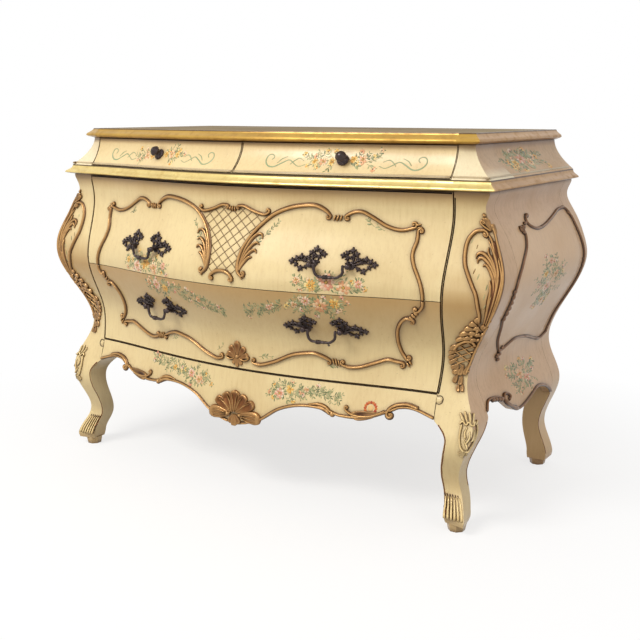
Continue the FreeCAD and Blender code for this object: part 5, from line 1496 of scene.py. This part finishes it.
def drawer_flowers():
    """Sprays and twigs on the two deep drawers."""
    upper, lower = Pile(), Pile()
    on_upper = inside(-600, 600, Z_JOINT + 5, Z_WAIST)
    on_lower = inside(-600, 600, 302, Z_JOINT - 4)
    spray(upper, FRONT, [((258, 529), 20, PINK), ((222, 520), 15, YELLOW), ((296, 519), 17, PEACH),
                         ((190, 530), 10, PEACH), ((328, 528), 10, PINK)],
          (120, 34), 11, on_upper, (262, 520), 32, (24, 42))
    spray(upper, FRONT, [((-258, 529), 19, YELLOW), ((-292, 519), 15, PINK), ((-224, 520), 17, PEACH),
                         ((-328, 530), 9, YELLOW), ((-190, 528), 10, PINK)],
          (120, 36), 12, on_upper, (-258, 524), 34, (24, 42))
    for x, z, angle in ((342, 648, 2.6), (366, 640, 2.9), (78, 596, 1.0), (94, 616, 0.8), (110, 634, 0.6),
                        (-78, 600, 2.1), (-96, 622, 2.3), (-356, 640, 0.4)):
        twig(upper, FRONT, (x, z), angle, 20, random.Random(int(x)), on_upper)
    upper.piece("upper_drawer_flowers", "upper_drawer", "front_paint", PAINTED)
    spray(lower, FRONT, [((240, 476), 17, PEACH), ((208, 484), 12, PINK), ((274, 482), 13, YELLOW),
                         ((180, 474), 9, PEACH)], (112, 26), 13, on_lower, (232, 474), 28, (20, 36))
    spray(lower, FRONT, [((-222, 480), 15, PINK), ((-192, 474), 11, YELLOW), ((-250, 484), 10, PEACH)],
          (74, 26), 14, on_lower, (-206, 478), 22, (18, 32))
    garland(lower, FRONT, [(150, 470), (110, 460), (60, 446)], [((116, 462), 8, PINK)], 15, on_lower)
    garland(lower, FRONT, [(-150, 474), (-90, 458), (-20, 438)], [((-84, 458), 8, PEACH)], 16, on_lower)
    for x, z in ((60, 333), (72, 336), (232, 330), (-62, 334), (-216, 338)):
        twig(lower, FRONT, (x, z), 0.3, 22, random.Random(x), on_lower)
    dome(lower, FRONT, (238, 379), 3.8, 1.2, tint=(0.05, 0.03, 0.02), sides=4)
    lower.piece("lower_drawer_flowers", "lower_drawer", "front_paint", PAINTED)


def case_flowers():
    """Sprays on the apron and the sides, a roundel on the apron and strokes on the corners."""
    pile = Pile()

    def on_apron(a, b):
        return straight(sorted(APRON_EDGE), abs(a)) + 10 < b < 293

    spray(pile, FRONT, [((120, 256), 14, PINK), ((146, 268), 11, YELLOW)], (56, 28), 21, on_apron)
    garland(pile, FRONT, [(160, 266), (210, 270), (262, 264)], [((188, 272), 7, PEACH)], 22, on_apron)
    spray(pile, FRONT, [((-116, 254), 13, PEACH), ((-142, 266), 12, PINK)], (58, 28), 23, on_apron)
    garland(pile, FRONT, [(-156, 266), (-210, 276), (-268, 278)], [((-200, 270), 8, YELLOW)], 24, on_apron)
    dice = random.Random(25)
    for k, angle in enumerate(ring_of(16)):
        petal(pile, FRONT, around(ROUNDEL, 12.5, angle), angle, 8, 6.4, dice.choice(ROUNDEL_REDS),
              0.5 + 0.02 * (k % 3))
    petal(pile, FRONT, ROUNDEL, 0, 15, 15, (0.92, 0.62, 0.28), 0.4)
    for sign, seed in ((1, 31), (-1, 32)):
        twin = Pile()
        spray(twin, SIDE_SPRAY, [((246, 504), 14, PINK), ((224, 528), 11, PEACH), ((262, 536), 10, YELLOW),
                                 ((238, 470), 9, PEACH), ((244, 562), 8, PINK)],
              (50, 84), seed, inside(144, 338, 395, 620), (236, 512), 30, (24, 48))
        spray(twin, SIDE_SPRAY, [((232, 286), 12, PEACH), ((214, 272), 10, PINK)], (52, 44), seed + 4,
              inside(146, 288, 240, 335), (222, 283), 26, (20, 34))
        spray(twin, FRIEZE_SPRAY, [((258, 784), 11, PINK), ((238, 777), 9, PEACH), ((278, 777), 9, YELLOW)],
              (74, 22), seed + 8, inside(146, 340, 758, 812), (254, 782), 34, (16, 30))
        pile.join(twin if sign > 0 else twin.mirrored())
        twin = Pile()
        dice = random.Random(seed + 20)
        for a, b, lean in CORNER_STROKES:
            petal(twin, CORNER, (a, b), lean, 14, 2.6, dice.choice(SAGE + [(0.30, 0.18, 0.05)]))
        pile.join(twin if sign > 0 else twin.mirrored())
    pile.piece("case_flowers", "case", "front_paint", PAINTED)


def frieze_flowers():
    """Twigs, flowers and painted scrolls on the two frieze drawers."""
    for hand, side in (("right", 1), ("left", -1)):
        pile = Pile()
        dice = random.Random(41 + side)
        middle = side * KNOB_X

        def fits(a, b):
            return 758 < b < 812 and abs(a) > 10

        for way in (-1, 1):
            for k in range(11):
                root = (middle + way * (12 + 5.5 * k), KNOB_Z + dice.uniform(-7, 7))
                heading = (0 if way > 0 else math.pi) + dice.uniform(-0.9, 0.9)
                buds = (YELLOW, PEACH) if k % 2 == 0 else ()
                twig(pile, FRIEZE_FRONT, root, heading, dice.uniform(14, 26), dice, fits, 0.8, buds)
            for reach, size, tones in ((24, 9, YELLOW), (44, 11, PEACH), (64, 8, YELLOW)):
                if way * side < 0 or reach < 60:
                    bloom(pile, FRIEZE_FRONT, (middle + way * reach, 784 + way * 3), size, tones, dice, fits)
            for line, thick in FRIEZE_SCROLLS:
                sweep(pile, FRIEZE_FRONT, [(middle + way * a, b) for a, b in line],
                      [(0, thick * 0.35), (0.6, thick), (1, thick * 0.5)], 0.4, STROKE, 4, -0.2, SCROLL)
        body = "frieze_drawer_" + hand
        pile.piece(body + "_flowers", body, "front_paint", PAINTED)


# ---------------------------------------------------------------- the whole chest

dress_nodes()
upper_cartouche()
lower_cartouche()
lattice()
apron_carving()
both(corner_leaves(), "corner_leaves", "carving_gilt", CARVED_GILT, "corner_carving")
both(side_cartouche(), "side_carved_rails", "carving_gilt", SHADED_BROWN_GILT, "side_cartouche")
both(side_apron_carving(), "side_apron_carving", "carving_gilt", SHADED_BROWN_GILT)
both(edge_beads(), "leg_edge_beads", "carving_gilt", CARVED_GILT)
gap_lines()
both(toe_flutes(), "toe_flutes", "front_paint", PALE_GILT)
both(knee_carving(), "knee_carving", "carving_gilt", PALE_GILT)
apron_tabs()
for drawer in PULLS:
    backplates(drawer)
    for hand in ("left", "right"):
        bail(drawer, hand)
for hand in ("left", "right"):
    knob(hand)
drawer_flowers()
case_flowers()
frieze_flowers()
